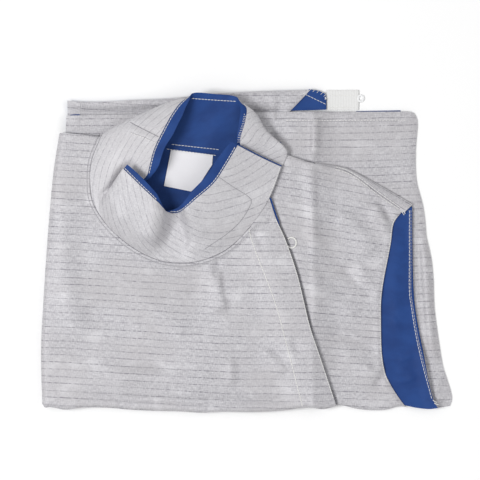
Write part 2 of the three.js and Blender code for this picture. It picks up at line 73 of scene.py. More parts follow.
camera_data = bpy.data.cameras.new("camera")
camera_data.sensor_width = SENSOR
camera_data.lens = SENSOR * VIEW_DISTANCE / VIEW_SIDE
camera = bpy.data.objects.new("camera", camera_data)
camera.location = (*VIEW_MIDDLE, CLOTH_TOP + VIEW_DISTANCE)
bpy.context.scene.collection.objects.link(camera)
bpy.context.scene.camera = camera
print("lens, mm:", round(camera_data.lens))

# %% Lamps, world and floor
LAMPS = {
    "key": {"at": (-1.45, -0.15, 2.3), "size": 0.9, "watts": 42.0},
    "fill": {"at": (1.5, -0.1, 1.8), "size": 1.4, "watts": 9.0},
}
WORLD_GREY = 0.49

for name, lamp in LAMPS.items():
    light = bpy.data.lights.new(name, "AREA")
    light.size = lamp["size"]
    light.energy = lamp["watts"]
    lamp_object = bpy.data.objects.new(name, light)
    lamp_object.location = lamp["at"]
    lamp_object.rotation_euler = (-Vector(lamp["at"])).to_track_quat("-Z", "Y").to_euler()
    bpy.context.scene.collection.objects.link(lamp_object)
    print(f"{name} lamp: {lamp['watts']} W, {lamp['size']} m wide")

world = bpy.data.worlds.new("studio")
world.use_nodes = True
world.node_tree.nodes["Background"].inputs["Color"].default_value = (WORLD_GREY,) * 3 + (1,)
bpy.context.scene.world = world
bpy.context.scene.view_settings.view_transform = "Standard"

# %% [markdown]
# ## Shader sums as Python sums
# A shader is easier to read as an expression than as a list of nodes. `Value` wraps one socket
# and overloads the arithmetic, so that each operator adds one Math node. `Finish` makes the
# material, any other node, and the final Principled shader.

# %% Value and Finish
class Value:
    """A number socket of a shader that can be used in Python sums."""

    def __init__(self, finish, socket):
        self.finish = finish
        self.socket = socket

    def maths(self, operation, *others):
        inputs = dict(enumerate((self, *others)))
        return self.finish.node("ShaderNodeMath", {"operation": operation}, inputs)

    def __add__(self, other):
        return self.maths("ADD", other)

    def __sub__(self, other):
        return self.maths("SUBTRACT", other)

    def __rsub__(self, other):
        return self.finish.node("ShaderNodeMath", {"operation": "SUBTRACT"}, {0: other, 1: self})

    def __mul__(self, other):
        return self.maths("MULTIPLY", other)

    def __truediv__(self, other):
        return self.maths("DIVIDE", other)

    __radd__ = __add__
    __rmul__ = __mul__


class Finish:
    """A material under construction."""

    def __init__(self, name):
        self.material = bpy.data.materials.new(name)
        self.material.use_nodes = True
        self.tree = self.material.node_tree
        self.shader = self.tree.nodes["Principled BSDF"]

    def feed(self, socket, value):
        if isinstance(value, Value):
            self.tree.links.new(value.socket, socket)
        else:
            socket.default_value = value

    def node(self, kind, settings=(), inputs=(), output=0):
        made = self.tree.nodes.new(kind)
        for key, value in dict(settings).items():
            setattr(made, key, value)
        for key, value in dict(inputs).items():
            self.feed(made.inputs[key], value)
        return Value(self, made.outputs[output])

    def cloth_place(self):
        """Distances along and across the stripes, in millimetres, from the cloth's own map."""
        flat = self.node("ShaderNodeUVMap", {"uv_map": "cloth"})
        along = self.node("ShaderNodeSeparateXYZ", (), {0: flat})
        across = Value(self, along.socket.node.outputs[1])
        return along, across

    def noise(self, along, across, scale, detail, seed):
        """Cloudy noise; scale gives the size of a cloud along and across, in millimetres."""
        place = self.node(
            "ShaderNodeCombineXYZ", (), {0: along / scale[0], 1: across / scale[1], 2: seed}
        )
        values = {"Vector": place, "Scale": 1.0, "Detail": detail}
        return self.node("ShaderNodeTexNoise", (), values)

    def weave(self, along, across, pitch):
        """Small bumps in a square grid, like the threads of a plain weave."""
        turns = math.tau / pitch
        return (along * turns).maths("SINE") * (across * turns).maths("SINE")

    def ramp(self, value, low, high):
        """0 below low, 1 above high, soft between."""
        inputs = {"Value": value, "From Min": low, "From Max": high}
        return self.node("ShaderNodeMapRange", {"interpolation_type": "SMOOTHSTEP"}, inputs)

    def mix(self, share, first, second):
        """Colour between two colours."""
        settings = {"data_type": "RGBA"}
        made = self.node("ShaderNodeMix", settings, {0: share}, output=2)
        self.feed(made.socket.node.inputs[6], first)
        self.feed(made.socket.node.inputs[7], second)
        return made

    def bump(self, height, strength, distance):
        inputs = {"Height": height, "Strength": strength, "Distance": distance}
        return self.node("ShaderNodeBump", (), inputs)

    def done(self, **sockets):
        """Sets the shader's sockets; a name's words are joined by underscores."""
        for name, value in sockets.items():
            self.feed(self.shader.inputs[name.replace("_", " ")], value)
        return self.material


def colour(red, green, blue):
    """A colour given as it is seen on a screen, 0 to 255, as the shader's linear numbers."""
    linear = [((c / 255 + 0.055) / 1.055) ** 2.4 for c in (red, green, blue)]
    return (*linear, 1.0)


# %% [markdown]
# ## The finishes
# The shell is a plain weave of polyester with a metal thread, pale grey with a thin darker line
# every seven millimetres. The line is a coarser cross thread, so it is a little dashed. The metal
# shows as a broad soft sheen rather than as gloss. The lining is a dense blue nylon, and the rest
# is white: a satin label, a ribbed elastic and sewing thread. Each finish reads the cloth's own
# map, which is in millimetres, so that a thread has its real size and follows the cut.

# %% Silver cloth
STRIPE_SPACING = 7.1
STRIPE_WIDTH = 0.62
SILVER_LIGHT = (212, 211, 214)
SILVER_DARK = (164, 162, 168)
SILVER_WARM = (188, 185, 187)
SILVER_LINE = (118, 115, 125)
SILVER_WEAR_AND_PAINTED_LIGHT = (226, 225, 228)


def silver_cloth(name, stripes, pale):
    """`stripes` says how strongly the dark lines show and `pale` lightens the whole cloth as
    painted light, 0 to 1.
    """
    f = Finish(name)
    along, across = f.cloth_place()
    clouds = f.noise(along, across, (70.0, 45.0), 2.0, 3.0)
    slub = f.noise(along, across, (0.8, 3.4), 2.0, 7.0)
    picks = f.noise(along, across, (5.5, 0.7), 2.0, 11.0)
    dashes = f.noise(along, across, (3.2, 40.0), 2.0, 17.0)
    wander = f.noise(along, across, (30.0, 60.0), 1.0, 23.0) - 0.5
    drift = f.noise(along, across, (190.0, 15.0), 1.0, 29.0) - 0.5
    row = (across + wander * 1.8 + drift * 3.4) / STRIPE_SPACING
    from_line = (row.maths("FRACT") - 0.5).maths("ABSOLUTE")
    half = STRIPE_WIDTH / STRIPE_SPACING
    line = 1.0 - f.ramp(from_line, 0.2 * half, 1.1 * half)
    faint = f.noise(along, across, (60.0, 9.0), 1.0, 31.0)
    broken = f.ramp(dashes, 0.36, 0.63) * 0.64 + 0.2
    fading = f.ramp(faint, 0.3, 0.62) * 0.6 + 0.5
    strength = broken * fading * stripes
    weave = slub * 0.5 + picks * 0.5
    body = f.mix(f.ramp(weave, 0.30, 0.70), colour(*SILVER_DARK), colour(*SILVER_LIGHT))
    tinted = f.mix(f.ramp(clouds, 0.35, 0.7) * 0.45, body, colour(*SILVER_WARM))
    worn = f.ramp(f.noise(along, across, (24.0, 16.0), 3.0, 37.0), 0.5, 0.75) * 0.4
    # Worn patches, and the collar's painted light set by `pale`, both mix the cloth towards the
    # pale colour.
    wear_and_painted_light = f.mix(worn * (1.0 - pale) + pale, tinted, colour(*SILVER_WEAR_AND_PAINTED_LIGHT))
    striped = f.mix(line * strength, wear_and_painted_light, colour(*SILVER_LINE))
    relief = weave * 1.2 + f.weave(along, across, 0.85) * 0.22 - line * 0.5
    return f.done(
        Base_Color=striped,
        Metallic=0.22,
        Roughness=0.46 + weave * 0.24,
        Sheen_Weight=0.18,
        Sheen_Roughness=0.4,
        Normal=f.bump(relief, 0.3, 0.0005),
    )


# %% Blue lining, and the white materials
def blue_lining():
    f = Finish("blue_lining")
    along, across = f.cloth_place()
    clouds = f.noise(along, across, (26.0, 18.0), 3.0, 5.0)
    fine = f.noise(along, across, (0.9, 0.9), 2.0, 9.0)
    body = f.mix(f.ramp(clouds, 0.3, 0.7), colour(*BLUE_DARK), colour(*BLUE_LIGHT))
    threads = f.weave(along, across, 0.6)
    return f.done(
        Base_Color=body,
        Roughness=0.5 + fine * 0.2,
        Specular_IOR_Level=0.22,
        Sheen_Weight=0.04,
        Sheen_Roughness=0.5,
        Normal=f.bump(fine * 0.8 + threads * 0.25 + clouds * 1.5, 0.22, 0.0005),
    )


def white_weave(name, shade, rib, rib_depth, gloss):
    """White cloth with fine ribs that run across the map's first direction."""
    f = Finish(name)
    along, across = f.cloth_place()
    ribs = (along * (math.tau / rib)).maths("SINE") * 0.5 + 0.5
    fine = f.noise(along, across, (1.2, 1.2), 2.0, 2.0)
    dark = tuple(0.93 * c for c in shade)
    body = f.mix(ribs * 0.35 + fine * 0.25, colour(*dark), colour(*shade))
    relief = f.bump(ribs * rib_depth + fine * 0.5, 0.4, 0.0005)
    return f.done(Base_Color=body, Roughness=gloss + fine * 0.15, Sheen_Weight=0.2, Normal=relief)


def clear_plastic():
    f = Finish("clear_plastic")
    along, across = f.cloth_place()
    haze = f.noise(along, across, (2.0, 2.0), 2.0, 1.0)
    body = f.mix(haze, colour(246, 247, 248), colour(253, 253, 254))
    return f.done(
        Base_Color=body,
        Roughness=0.3 + haze * 0.12,
        Transmission_Weight=0.12,
        IOR=1.46,
        Normal=f.bump(haze, 0.1, 0.0003),
    )


BLUE_LIGHT = (34, 70, 134)
BLUE_DARK = (28, 60, 120)
LABEL_WHITE = (252, 251, 255)
ELASTIC_WHITE = (239, 239, 238)
THREAD_WHITE = (250, 249, 246)

SILVER = silver_cloth("silver_cloth", 0.93, 0.0)
# A paler copy of the same cloth for the collar, with fainter lines; its paleness is painted light
# for the extra light that the raised, tilted band catches.
SILVER_COLLAR_PAINTED_LIGHT = silver_cloth("collar_cloth_with_painted_light", 0.64, 0.24)
BLUE = blue_lining()
LABEL_SATIN = white_weave("label_satin", LABEL_WHITE, 0.5, 0.3, 0.4)
ELASTIC = white_weave("ribbed_elastic", ELASTIC_WHITE, 1.6, 0.8, 0.6)
THREAD = white_weave("sewing_thread", THREAD_WHITE, 0.7, 0.8, 0.6)
CLEAR = clear_plastic()
print("materials:", [m.name for m in bpy.data.materials])

# %% [markdown]
# ## The floor
# The pack lies on a plain pale sheet. It is much larger than the view, so its edges never show.

# %% Floor
def pale_floor():
    f = Finish("pale_floor")
    place = f.node("ShaderNodeTexCoord", output=3)
    cloud = f.node("ShaderNodeTexNoise", (), {"Vector": place, "Scale": 3.0, "Detail": 2.0})
    return f.done(
        Base_Color=f.mix(cloud, colour(250, 250, 250), colour(254, 254, 254)), Roughness=0.7
    )


FLOOR_SIDE = 5.0
bpy.ops.mesh.primitive_plane_add(size=FLOOR_SIDE)
floor = bpy.context.object
floor.name = "floor"
floor.data.materials.append(pale_floor())
print("floor, m:", FLOOR_SIDE)

# %% [markdown]
# ## Lines and meshes
# Outlines come from short tables of points, joined by a soft curve that passes
# through each of them. A panel of cloth is a flat outline filled with triangles, then lifted to
# its place. `skin` gives that surface its thickness and closes it along the rim.

# %% Soft curves and resampling
def soft(points, per_span=8):
    """A smooth curve through the points, without overshoot where they lie unevenly."""
    p = np.asarray(points, float)
    guides = [2 * p[0] - p[1], *p, 2 * p[-1] - p[-2]]
    made = []
    for span in zip(guides, guides[1:], guides[2:], guides[3:]):
        steps = [max(np.linalg.norm(b - a), 1e-6) ** 0.5 for a, b in zip(span, span[1:])]
        knot = np.cumsum([0.0, *steps])

        def between(a, b, i, j, t):
            return (a * (knot[j] - t) + b * (t - knot[i])) / (knot[j] - knot[i])

        for t in np.linspace(knot[1], knot[2], per_span, endpoint=False):
            a, b, c = (between(span[i], span[i + 1], i, i + 1, t) for i in range(3))
            made.append(between(between(a, b, 0, 2, t), between(b, c, 1, 3, t), 1, 2, t))
    made.append(p[-1])
    return np.array(made)


def walk(path, step, closed=False):
    """The path again, with points about `step` apart; its corners over 25 degrees are kept."""
    path = np.asarray(path, float)
    if closed:
        path = np.vstack([path, path[:1]])
    lengths = np.linalg.norm(np.diff(path, axis=0), axis=1)
    path = path[np.concatenate([[True], lengths > 1e-6])]
    lengths = lengths[lengths > 1e-6]
    heading = np.diff(path, axis=0) / lengths[:, None]
    turns = np.einsum("ij,ij->i", heading[:-1], heading[1:]) < math.cos(math.radians(25))
    corners = [0, *(np.nonzero(turns)[0] + 1), len(path) - 1]
    places = np.concatenate([[0], np.cumsum(lengths)])
    made = []
    for a, b in zip(corners, corners[1:]):
        count = max(1, round((places[b] - places[a]) / step))
        at = np.linspace(places[a], places[b], count, endpoint=False)
        made.append(np.stack([np.interp(at, places, path[:, k]) for k in range(path.shape[1])], 1))
    if not closed:
        made.append(path[-1:])
    return np.vstack(made)


def smooth(t):
    """0 below zero, 1 above one, and soft between."""
    t = np.clip(t, 0.0, 1.0)
    return t * t * (3 - 2 * t)


def hump(distance, width):
    """1 on a line, and softly less away from it."""
    return np.exp(-((distance / width) ** 2))


def unit(vectors):
    return vectors / np.maximum(np.linalg.norm(vectors, axis=-1, keepdims=True), 1e-9)


def lengths_along(path):
    steps = np.linalg.norm(np.diff(path, axis=0), axis=1)
    return np.concatenate([[0.0], np.cumsum(steps)])


def part_of(line, low, high, axis=1):
    """The points of a line whose y, or x where the axis is 0, lies between two values."""
    return line[(line[:, axis] > low) & (line[:, axis] < high)]


def away_from(path, x, y):
    """Distance of each point from a path, the side it lies on and how far along it is, 0 to 1."""
    path = np.asarray(path, float)
    x, y = np.broadcast_arrays(np.asarray(x, float), np.asarray(y, float))
    nearest = np.full(x.shape, np.inf)
    side = np.zeros(x.shape)
    share = np.zeros(x.shape)
    lengths = np.linalg.norm(np.diff(path[:, :2], axis=0), axis=1)
    total = lengths.sum()
    before = 0.0
    for (ax, ay), (bx, by), length in zip(path[:-1, :2], path[1:, :2], lengths):
        ux, uy = (bx - ax) / length, (by - ay) / length
        t = np.clip((x - ax) * ux + (y - ay) * uy, 0, length)
        dx, dy = x - ax - t * ux, y - ay - t * uy
        distance = np.hypot(dx, dy)
        closer = distance < nearest
        nearest = np.where(closer, distance, nearest)
        side = np.where(closer, np.sign(dy * ux - dx * uy), side)
        share = np.where(closer, (before + t) / total, share)
        before += length
    return nearest, side, share


# %% Skins
def vertex_normals(points, faces):
    normals = np.zeros_like(points)
    for size in {len(f) for f in faces}:
        rows = np.array([f for f in faces if len(f) == size])
        first = points[rows[:, 2]] - points[rows[:, 0]]
        face_normals = np.cross(first, points[rows[:, -1]] - points[rows[:, 1]])
        for k in range(size):
            np.add.at(normals, rows[:, k], face_normals)
    return unit(normals)


def make_object(name, points, faces, marks, materials, sharp=50, face_materials=None):
    """A mesh object from millimetres in the pattern frame; marks is the cloth map."""
    mesh = bpy.data.meshes.new(name)
    mesh.from_pydata(((points + PATTERN_ZERO) * MM).tolist(), [], faces)
    for material in materials:
        mesh.materials.append(material)
    if face_materials is not None:
        mesh.polygons.foreach_set("material_index", face_materials)
    layer = mesh.uv_layers.new(name="cloth")
    corners = np.zeros(len(mesh.loops), np.int32)
    mesh.loops.foreach_get("vertex_index", corners)
    layer.data.foreach_set("uv", marks[corners].astype(np.float32).ravel())
    mesh.shade_smooth()
    if sharp:
        mesh.set_sharp_from_angle(angle=math.radians(sharp))
    made = bpy.data.objects.new(name, mesh)
    bpy.context.scene.collection.objects.link(made)
    return made


def skin(name, points, faces, marks, material, wall, under=None):
    """A closed skin `wall` thick on a surface; its underside may be of another cloth."""
    faces = [tuple(int(i) for i in f) for f in faces]
    normals = vertex_normals(points, faces)
    count = len(points)
    used = {(a, b) for f in faces for a, b in zip(f, (*f[1:], f[0]))}
    rim = [(b, a, a + count, b + count) for a, b in used if (b, a) not in used]
    back = [tuple(i + count for i in reversed(f)) for f in faces]
    both = np.vstack([points + normals * wall / 2, points - normals * wall / 2])
    kinds = [0] * (len(faces) + len(rim)) + [1 if under else 0] * len(back)
    materials = [material, under] if under else [material]
    return make_object(
        name, both, faces + rim + back, np.vstack([marks, marks]), materials, face_materials=kinds
    )


def grid_faces(rows, columns):
    """Quads of a net of rows by columns."""
    corners = [i * columns + j for i in range(rows - 1) for j in range(columns - 1)]
    return [(k, k + columns, k + columns + 1, k + 1) for k in corners]


def ring_faces(rings, sides, closed=False, start=0):
    """Quads between rings of points that follow each other, with a cap at each open end."""
    faces = []
    for i in range(rings if closed else rings - 1):
        here, there = start + i * sides, start + (i + 1) % rings * sides
        for j in range(sides):
            k = (j + 1) % sides
            faces.append((here + j, here + k, there + k, there + j))
    if not closed:
        end = start + (rings - 1) * sides
        faces.append(tuple(start + j for j in reversed(range(sides))))
        faces.append(tuple(end + j for j in range(sides)))
    return faces


def fill(outline, loose, clear):
    """Points and triangles over a closed outline, through those of the loose points inside it."""
    x, y = loose.T
    within = np.zeros(len(loose), bool)
    for (ax, ay), (bx, by) in zip(outline, np.roll(outline, -1, axis=0)):
        if ay != by:
            within ^= ((ay > y) != (by > y)) & (x < (bx - ax) * (y - ay) / (by - ay) + ax)
    tree = kdtree.KDTree(len(outline))
    for i, (px, py) in enumerate(outline):
        tree.insert((px, py, 0.0), i)
    tree.balance()
    kept = [p for p in loose[within] if tree.find((p[0], p[1], 0.0))[2] > clear]
    points = [Vector(p) for p in outline] + [Vector(p) for p in kept]
    made, _, faces, *_ = delaunay_2d_cdt(points, [], [tuple(range(len(outline)))], 1, 1e-5)
    flat = np.array([(p.x, p.y) for p in made])
    a, b, c = (flat[[f[k] for f in faces]] for k in range(3))
    turned = (b[:, 0] - a[:, 0]) * (c[:, 1] - a[:, 1]) - (b[:, 1] - a[:, 1]) * (c[:, 0] - a[:, 0])
    faces = [tuple(f) if t > 0 else tuple(reversed(f)) for f, t in zip(faces, turned)]
    return flat, faces


def net(low, high, step):
    """Loose points over a box, every other row moved by half a step."""
    rows = np.arange(low[1], high[1], step * 0.87)
    columns = np.arange(low[0], high[0], step)
    x, y = np.meshgrid(columns, rows)
    x = x + (np.arange(len(rows)) % 2)[:, None] * step / 2
    return np.stack([x.ravel(), y.ravel()], 1)


# %% [markdown]
# ## What each sheet stands for
# The imported part has a plain solid for every piece, and a sheet of cloth hides its solid. The
# table names that solid, the slot of its finish, how the cloth is held and what it rests on.
# `settle` is also handed the flat size that the sheet was cut to, as an outline or as a width and
# length, but doesn't use it.

# %% Sheets
SILVER_WALL = 0.7
LINING_WALL = 0.5
PIECES = {}
# Sheet: node, slot, held, and what it rests on.
SHEETS = {
    "right_front": ("front_right", "silver_cloth", "folded", "front_left front_overlap_facing"),
    "left_front": ("front_left", "silver_cloth", "folded", "back_upper armhole_lining"),
    "front_facing": ("front_overlap_facing", "blue_lining", "laid", "front_left"),
    "lower_front": ("front_lower", "silver_cloth", "folded", "folded_side_core"),
    "lower_back": ("back_lower", "silver_cloth", "folded", "front_lower"),
    "upper_back": ("back_upper", "silver_cloth", "folded", "back_lower"),
    "shoulder_strip": ("back_shoulder_strip", "silver_cloth", "folded", "back_upper"),
    "armhole_lining_cloth": ("armhole_lining", "blue_lining", "laid", "back_upper"),
    "neck_lining_cloth": ("neck_lining", "blue_lining", "laid", "back_upper"),
    "label_tab": ("size_label", "white_label", "laid", "neck_lining_cloth"),
    "folded_leaf": ("folded_side_leaf", "silver_cloth", "folded", "folded_side_core"),
    "turned_corner": ("turned_hem_lining", "blue_lining", "folded", "folded_side_core"),
    "folded_side": ("folded_side_core", "silver_cloth", "folded", "right_front"),
    "elastic_strap": ("crotch_strap", "white_elastic", "laid", "floor"),
}
for part in ("right", "back", "left"):
    shell, inside = f"collar_{part}_shell", f"collar_{part}_inside"
    SHEETS[shell] = (f"collar_{part}_outer", "silver_cloth", "folded", "front_right")
    SHEETS[inside] = (f"collar_{part}_lining", "blue_lining", "folded", "front_right")


def settle(made, cut):
    """Keeps a finished sheet under the root and hides its solid; `cut`, its flat outline or its
    width and length in mm, is not used.
    """
    node, slot, held, under = SHEETS[made.name]
    cut = np.asarray(cut, float)
    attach(made, "root")
    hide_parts(node)
    PIECES[made.name] = made


# %% [markdown]
# ## The folded pack
# Four panels lie on each other: the lower front, the lower back, the upper back and the front on
# top. The folded side lifts their left part, so all of them climb over it at the same ridge. The
# lines below are the folds and cut edges in plan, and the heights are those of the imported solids.

# %% Folds and edges in plan
LEFT_FOLD = [(-188, 117), (-194, 78), (-200, 10), (-204, -50), (-206.5, -100), (-205, -160)]
BOTTOM_FOLD = [
    (-207, -158), (-196, -157), (-183, -159.5), (-165, -157.5), (-140, -157.5), (-118, -159.5),
    (-95, -160.5), (-70, -161), (-45, -162.5), (-25, -161.5), (5, -162), (35, -160.5),
    (62, -157), (76, -159), (93, -155.5), (110, -159), (125, -160.5), (139, -160), (153, -156.5),
    (168, -159.5), (183, -161), (196, -158.5), (207, -157),
]
OVERLAP_EDGE = [(22, 52), (29, 31), (38, 11), (50, -24), (63, -77), (73, -107), (90, -158)]
NECK_SEAM = [
    (22, 52), (3, 24), (-21, 1), (-51, -11), (-82, -11), (-107, -1), (-129, 15), (-145, 33),
    (-154, 50), (-156, 69), (-154, 90), (-144, 115),
]
SHOULDER_SEAM = [(37, 96), (68, 86), (91, 82), (98, 79.5), (112, 72), (131, 56.5), (155, 38.5)]
SHOULDER_FOLD = [(37, 97.5), (68, 87.5), (98, 82.5), (112.5, 76), (134, 64), (166, 45.5)]
ARMHOLE_FRONT = [
    (155, 38.5), (147, 27), (144, 7), (135, -42), (134, -66), (138, -122), (154, -151), (160, -158),
]
ARMHOLE_BACK = [(166, 44), (166, 10), (168, -51), (177, -103), (188, -152), (195, -162)]
SIDE_FOLD = [
    (168.5, 139), (171, 130), (169, 100), (170, 70), (176, 46), (178.5, 30), (179.8, 12),
    (184.8, -9), (186.8, -30), (187.4, -56), (190, -77), (193, -97), (196.4, -116), (201, -131),
    (206, -147), (205, -156),
]
LEAF_HEM = [
    (-180, 149.6), (-168, 148.3), (-145, 148.2), (-116, 149.8), (-77, 151.5), (-40, 156),
    (10, 158.5), (63, 160),
]
print("bottom fold drawn with", len(BOTTOM_FOLD), "points, side fold with", len(SIDE_FOLD))

# %% Heights of the layers
LEVEL = {"front_lower": 0.6, "back_lower": 2.1, "back_upper": 3.6, "lining": 5.0, "front": 6.9}
LOFT = {"front_lower": 0.0, "back_lower": 0.3, "back_upper": 0.5, "lining": 0.6, "front": 1.0}
RISE = 6.5
RISE_FROM, RISE_TO = 92.0, 66.0
RIDGE_LIFT, RIDGE_WIDTH = 0.5, 2.6
LOWEST = 0.4
BOTTOM_TURN = (LEVEL["front"] - LEVEL["front_lower"]) / 2
BILLOWS = [
    {"x": 0.021, "y": 0.034, "turn": 0.9, "height": 0.50},
    {"x": -0.043, "y": 0.019, "turn": 2.3, "height": 0.32},
    {"x": 0.064, "y": -0.055, "turn": 4.1, "height": 0.20},
    {"x": 0.017, "y": 0.096, "turn": 1.7, "height": 0.16},
]


def bottom_at(x):
    line = soft(BOTTOM_FOLD, 4)
    return np.interp(x, line[:, 0], line[:, 1])


def left_at(y):
    line = soft(LEFT_FOLD, 6)[::-1]
    return np.interp(y, line[:, 1], line[:, 0])


def rise(x):
    """How far the folded side lifts whatever lies over it."""
    share = np.clip((RISE_FROM - x) / (RISE_FROM - RISE_TO), 0.0, 1.0)
    climb = RISE * (0.5 * smooth(share) + 0.5 * share**2)
    return climb + RIDGE_LIFT * hump(x - RISE_TO, RIDGE_WIDTH)


def billow(x, y):
    """The pack's broad unevenness, never below zero."""
    total = sum(b["height"] for b in BILLOWS)
    return total + sum(b["height"] * np.sin(b["x"] * x + b["y"] * y + b["turn"]) for b in BILLOWS)


def layer(name, x, y):
    """Middle height of one layer of the pack, before its creases."""
    return LEVEL[name] + rise(x) + LOFT[name] * billow(x, y)


print("height of the front at its lowest and highest, mm:", LEVEL["front"], LEVEL["front"] + RISE)

# %% [markdown]
# ## Creases
# Cloth that was folded and carried keeps creases. Sculpting could make them, but a table is easier
# to change: each row is one crest or trough along a few points in plan. Seen along the way those
# points run, it falls off over `left` on one side and over `right` on the other, so that a sharp
# crest can have one steep and one gentle flank.

# %% Crease tables
# Columns: height (below zero for a trough), left, right, and the points it runs along.
FRONT_CREASES = [
    (4, 2.4, 13, [(-30, -14), (-26, -44), (-20, -64)]),
    (-2.7, 2.6, 2.6, [(-29, -10), (-31, -28)]),
    (-1.5, 3, 3, [(-62, -42), (-46, -39)]),
    (-1.9, 9, 14, [(-168, -58), (-138, -72), (-105, -90)]),
    (-2.1, 11, 11, [(-200, -96), (-140, -104), (-62, -122)]),
    (2.5, 10, 9, [(-150, -132), (-97, -126), (-14, -138)]),
    (2.1, 13, 9, [(-180, 82), (-184, 10), (-172, -90)]),
    (2.1, 2.6, 7, [(-14, -108), (-15, -136)]),
    (2.1, 3.5, 8, [(14, -98), (26, -108), (40, -124)]),
    (-1.9, 5, 5, [(44, -88), (54, -104)]),
    (-2.3, 2.6, 3.4, [(27, 30), (14, 22), (6, 19)]),
    (-1.7, 3, 2.6, [(6, 19), (16, 3)]),
    (-1.7, 5, 8, [(-90, -17), (-64, -21), (-38, -22)]),
    (1.5, 12, 9, [(-120, -40), (-84, -62), (-58, -90)]),
    (-2.1, 4, 3, [(-190, -146), (-120, -149), (-30, -152), (70, -149)]),
    (3.1, 9, 13, [(86, 40), (112, 18), (128, -8)]),
    (-2.9, 6, 7, [(92, -14), (112, -32), (130, -50)]),
    (2.5, 8, 10, [(72, -36), (92, -52), (116, -64)]),
    (-2.7, 5, 8, [(78, -76), (104, -86), (134, -99)]),
    (1.9, 7, 8, [(92, -104), (116, -116), (130, -132)]),
    (-2.3, 3, 3.5, [(126, -139), (132, -133), (139, -123)]),
    (-1.9, 3.2, 4, [(118, 44), (132, 49), (146, 28)]),
    (2.3, 3.6, 5, [(125, 30), (134, 33), (141, 14)]),
    (2.6, 6, 5, [(62, 94), (63, 62), (65, 30), (69, -6)]),
    (1.6, 5, 4, [(69, -18), (70, -44), (69, -66)]),
    (2.4, 3.2, 9, [(126, 51), (133, 38), (142, 22)]),
    (2, 6, 9, [(112, -12), (121, -34), (133, -52)]),
    (1.8, 5, 4, [(116, -118), (128, -122), (136, -112)]),
    (-1.4, 4, 5, [(-196, 60), (-196, 0), (-198, -60)]),
]
LOWER_BACK_CREASES = [
    (-1.35, 3.5, 4, [(23, 131), (27, 110), (31, 90)]),
    (4.2, 5.4, 3.2, [(69, 136), (67.5, 114), (67, 90)]),
    (4, 4, 4, [(176, 20), (179, -18), (184, -84), (189, -120)]),
    (-1.05, 1.8, 2.2, [(171.5, 26), (173, -20), (177, -80)]),
    (0.9, 7, 9, [(86, 128), (120, 124), (158, 127)]),
    (-0.9, 8, 9, [(96, 104), (128, 92), (158, 60)]),
    (1.8, 4, 4, [(196, -128), (190, -142), (196, -156)]),
    (-1.35, 5, 6, [(205, -140), (201, -152), (190, -159)]),
]
ARMHOLE_CREASES = [
    (1.05, 6, 7, [(152, 26), (149, -30), (151, -96)]),
    (-0.9, 3, 3, [(160, 24), (158, 4)]),
    (0.75, 4, 5, [(146, -52), (160, -70)]),
    (1.2, 1.6, 2.4, [(146, -67), (149, -72), (153, -75)]),
    (1.2, 2.4, 1.6, [(152, -112), (159, -109), (167, -104)]),
    (1.2, 2.4, 1.6, [(149, -131), (158, -132), (169, -127)]),
    (0.9, 4, 6, [(152, -116), (170, -130)]),
]


def creases(table, x, y):
    """Sum of a table's crests and troughs, each fading out towards its ends."""
    total = np.zeros(np.broadcast(x, y).shape)
    for height, left, right, run in table:
        distance, side, share = away_from(soft(run, 4), x, y)
        fade = smooth(share / 0.22) * smooth((1 - share) / 0.22) * 0.85 + 0.15
        total += height * hump(distance, np.where(side > 0, left, right)) * fade
    return total


print("creases on the front, the lower back and the armhole:",
      len(FRONT_CREASES), len(LOWER_BACK_CREASES), len(ARMHOLE_CREASES))


# %% Height of the front, and the seams pressed into it
LAP_LIFT, LAP_WIDTH, LAP_RAMP = 4.4, 18.0, 34.0
EDGE_ROLL = 0.5
SEAM_RIDGE, SEAM_ROW, ROW_DEPTH = 0.9, 5.2, 0.55
PLACKET_ROW = [(2, 21), (4.5, 10), (27.5, -51), (41, -100), (55, -155)]
neck_line = soft(NECK_SEAM, 4)
overlap_line = soft(OVERLAP_EDGE, 6)
placket_line = soft(PLACKET_ROW, 5)


def overlap_at(y):
    return np.interp(y, overlap_line[::-1, 1], overlap_line[::-1, 0])


def front_height(x, y, lapped):
    """Middle height of the front; lapped is true for the cloth that lies over the facing."""
    base = layer("front", x, y)
    base = base + creases(FRONT_CREASES, x, y) * smooth((y - bottom_at(x) - 2) / 10)
    from_neck, _, _ = away_from(neck_line, x, y)
    base = base + SEAM_RIDGE * hump(from_neck - 2.6, 2.0)
    base = base - ROW_DEPTH * hump(from_neck - SEAM_ROW, 0.8)
    if lapped:
        inside = overlap_at(y) - x
        base = base + LAP_LIFT * smooth(1 - (inside - LAP_WIDTH) / LAP_RAMP)
        base = base - EDGE_ROLL * (1 - smooth(inside / 3.2))
        from_row, _, _ = away_from(placket_line, x, y)
        base = base - ROW_DEPTH * hump(from_row, 0.9) + 0.25 * hump(from_row, 3.2)
    return base


def turn_under(t, bottom, radius):
    """Rolls cloth that runs past the bottom fold into a half circle: its y, and its inset."""
    past = np.clip((bottom + radius - t) / radius, 0.0, math.pi)
    y = np.where(past > 0, bottom + radius - radius * np.sin(past), t)
    return y, radius * (1 - np.cos(past))


print("front over the folded side, mm:", round(float(front_height(-60.0, -80.0, True)), 1))

# %% [markdown]
# ## Right front
# The right front is the large panel. It comes over the top, turns round the left fold and runs
# back along the table, and its lower edge rolls round the bottom fold. It is drawn flat, as it
# would be cut, and `place_right_front` then bends it: `s` runs across and `t` runs up the cloth.

# %% Right front
LEFT_TURN = (LEVEL["front"] + RISE - LEVEL["front_lower"]) / 2
UNDER_END = RISE_TO - 4
THIN_TURN = 0.5
SIDE_LOW, SIDE_TOP = -158.0, 117.0


def wrap_centre(y):
    """Where the front starts to turn round the left fold."""
    return left_at(y) + SILVER_WALL / 2 + LEFT_TURN


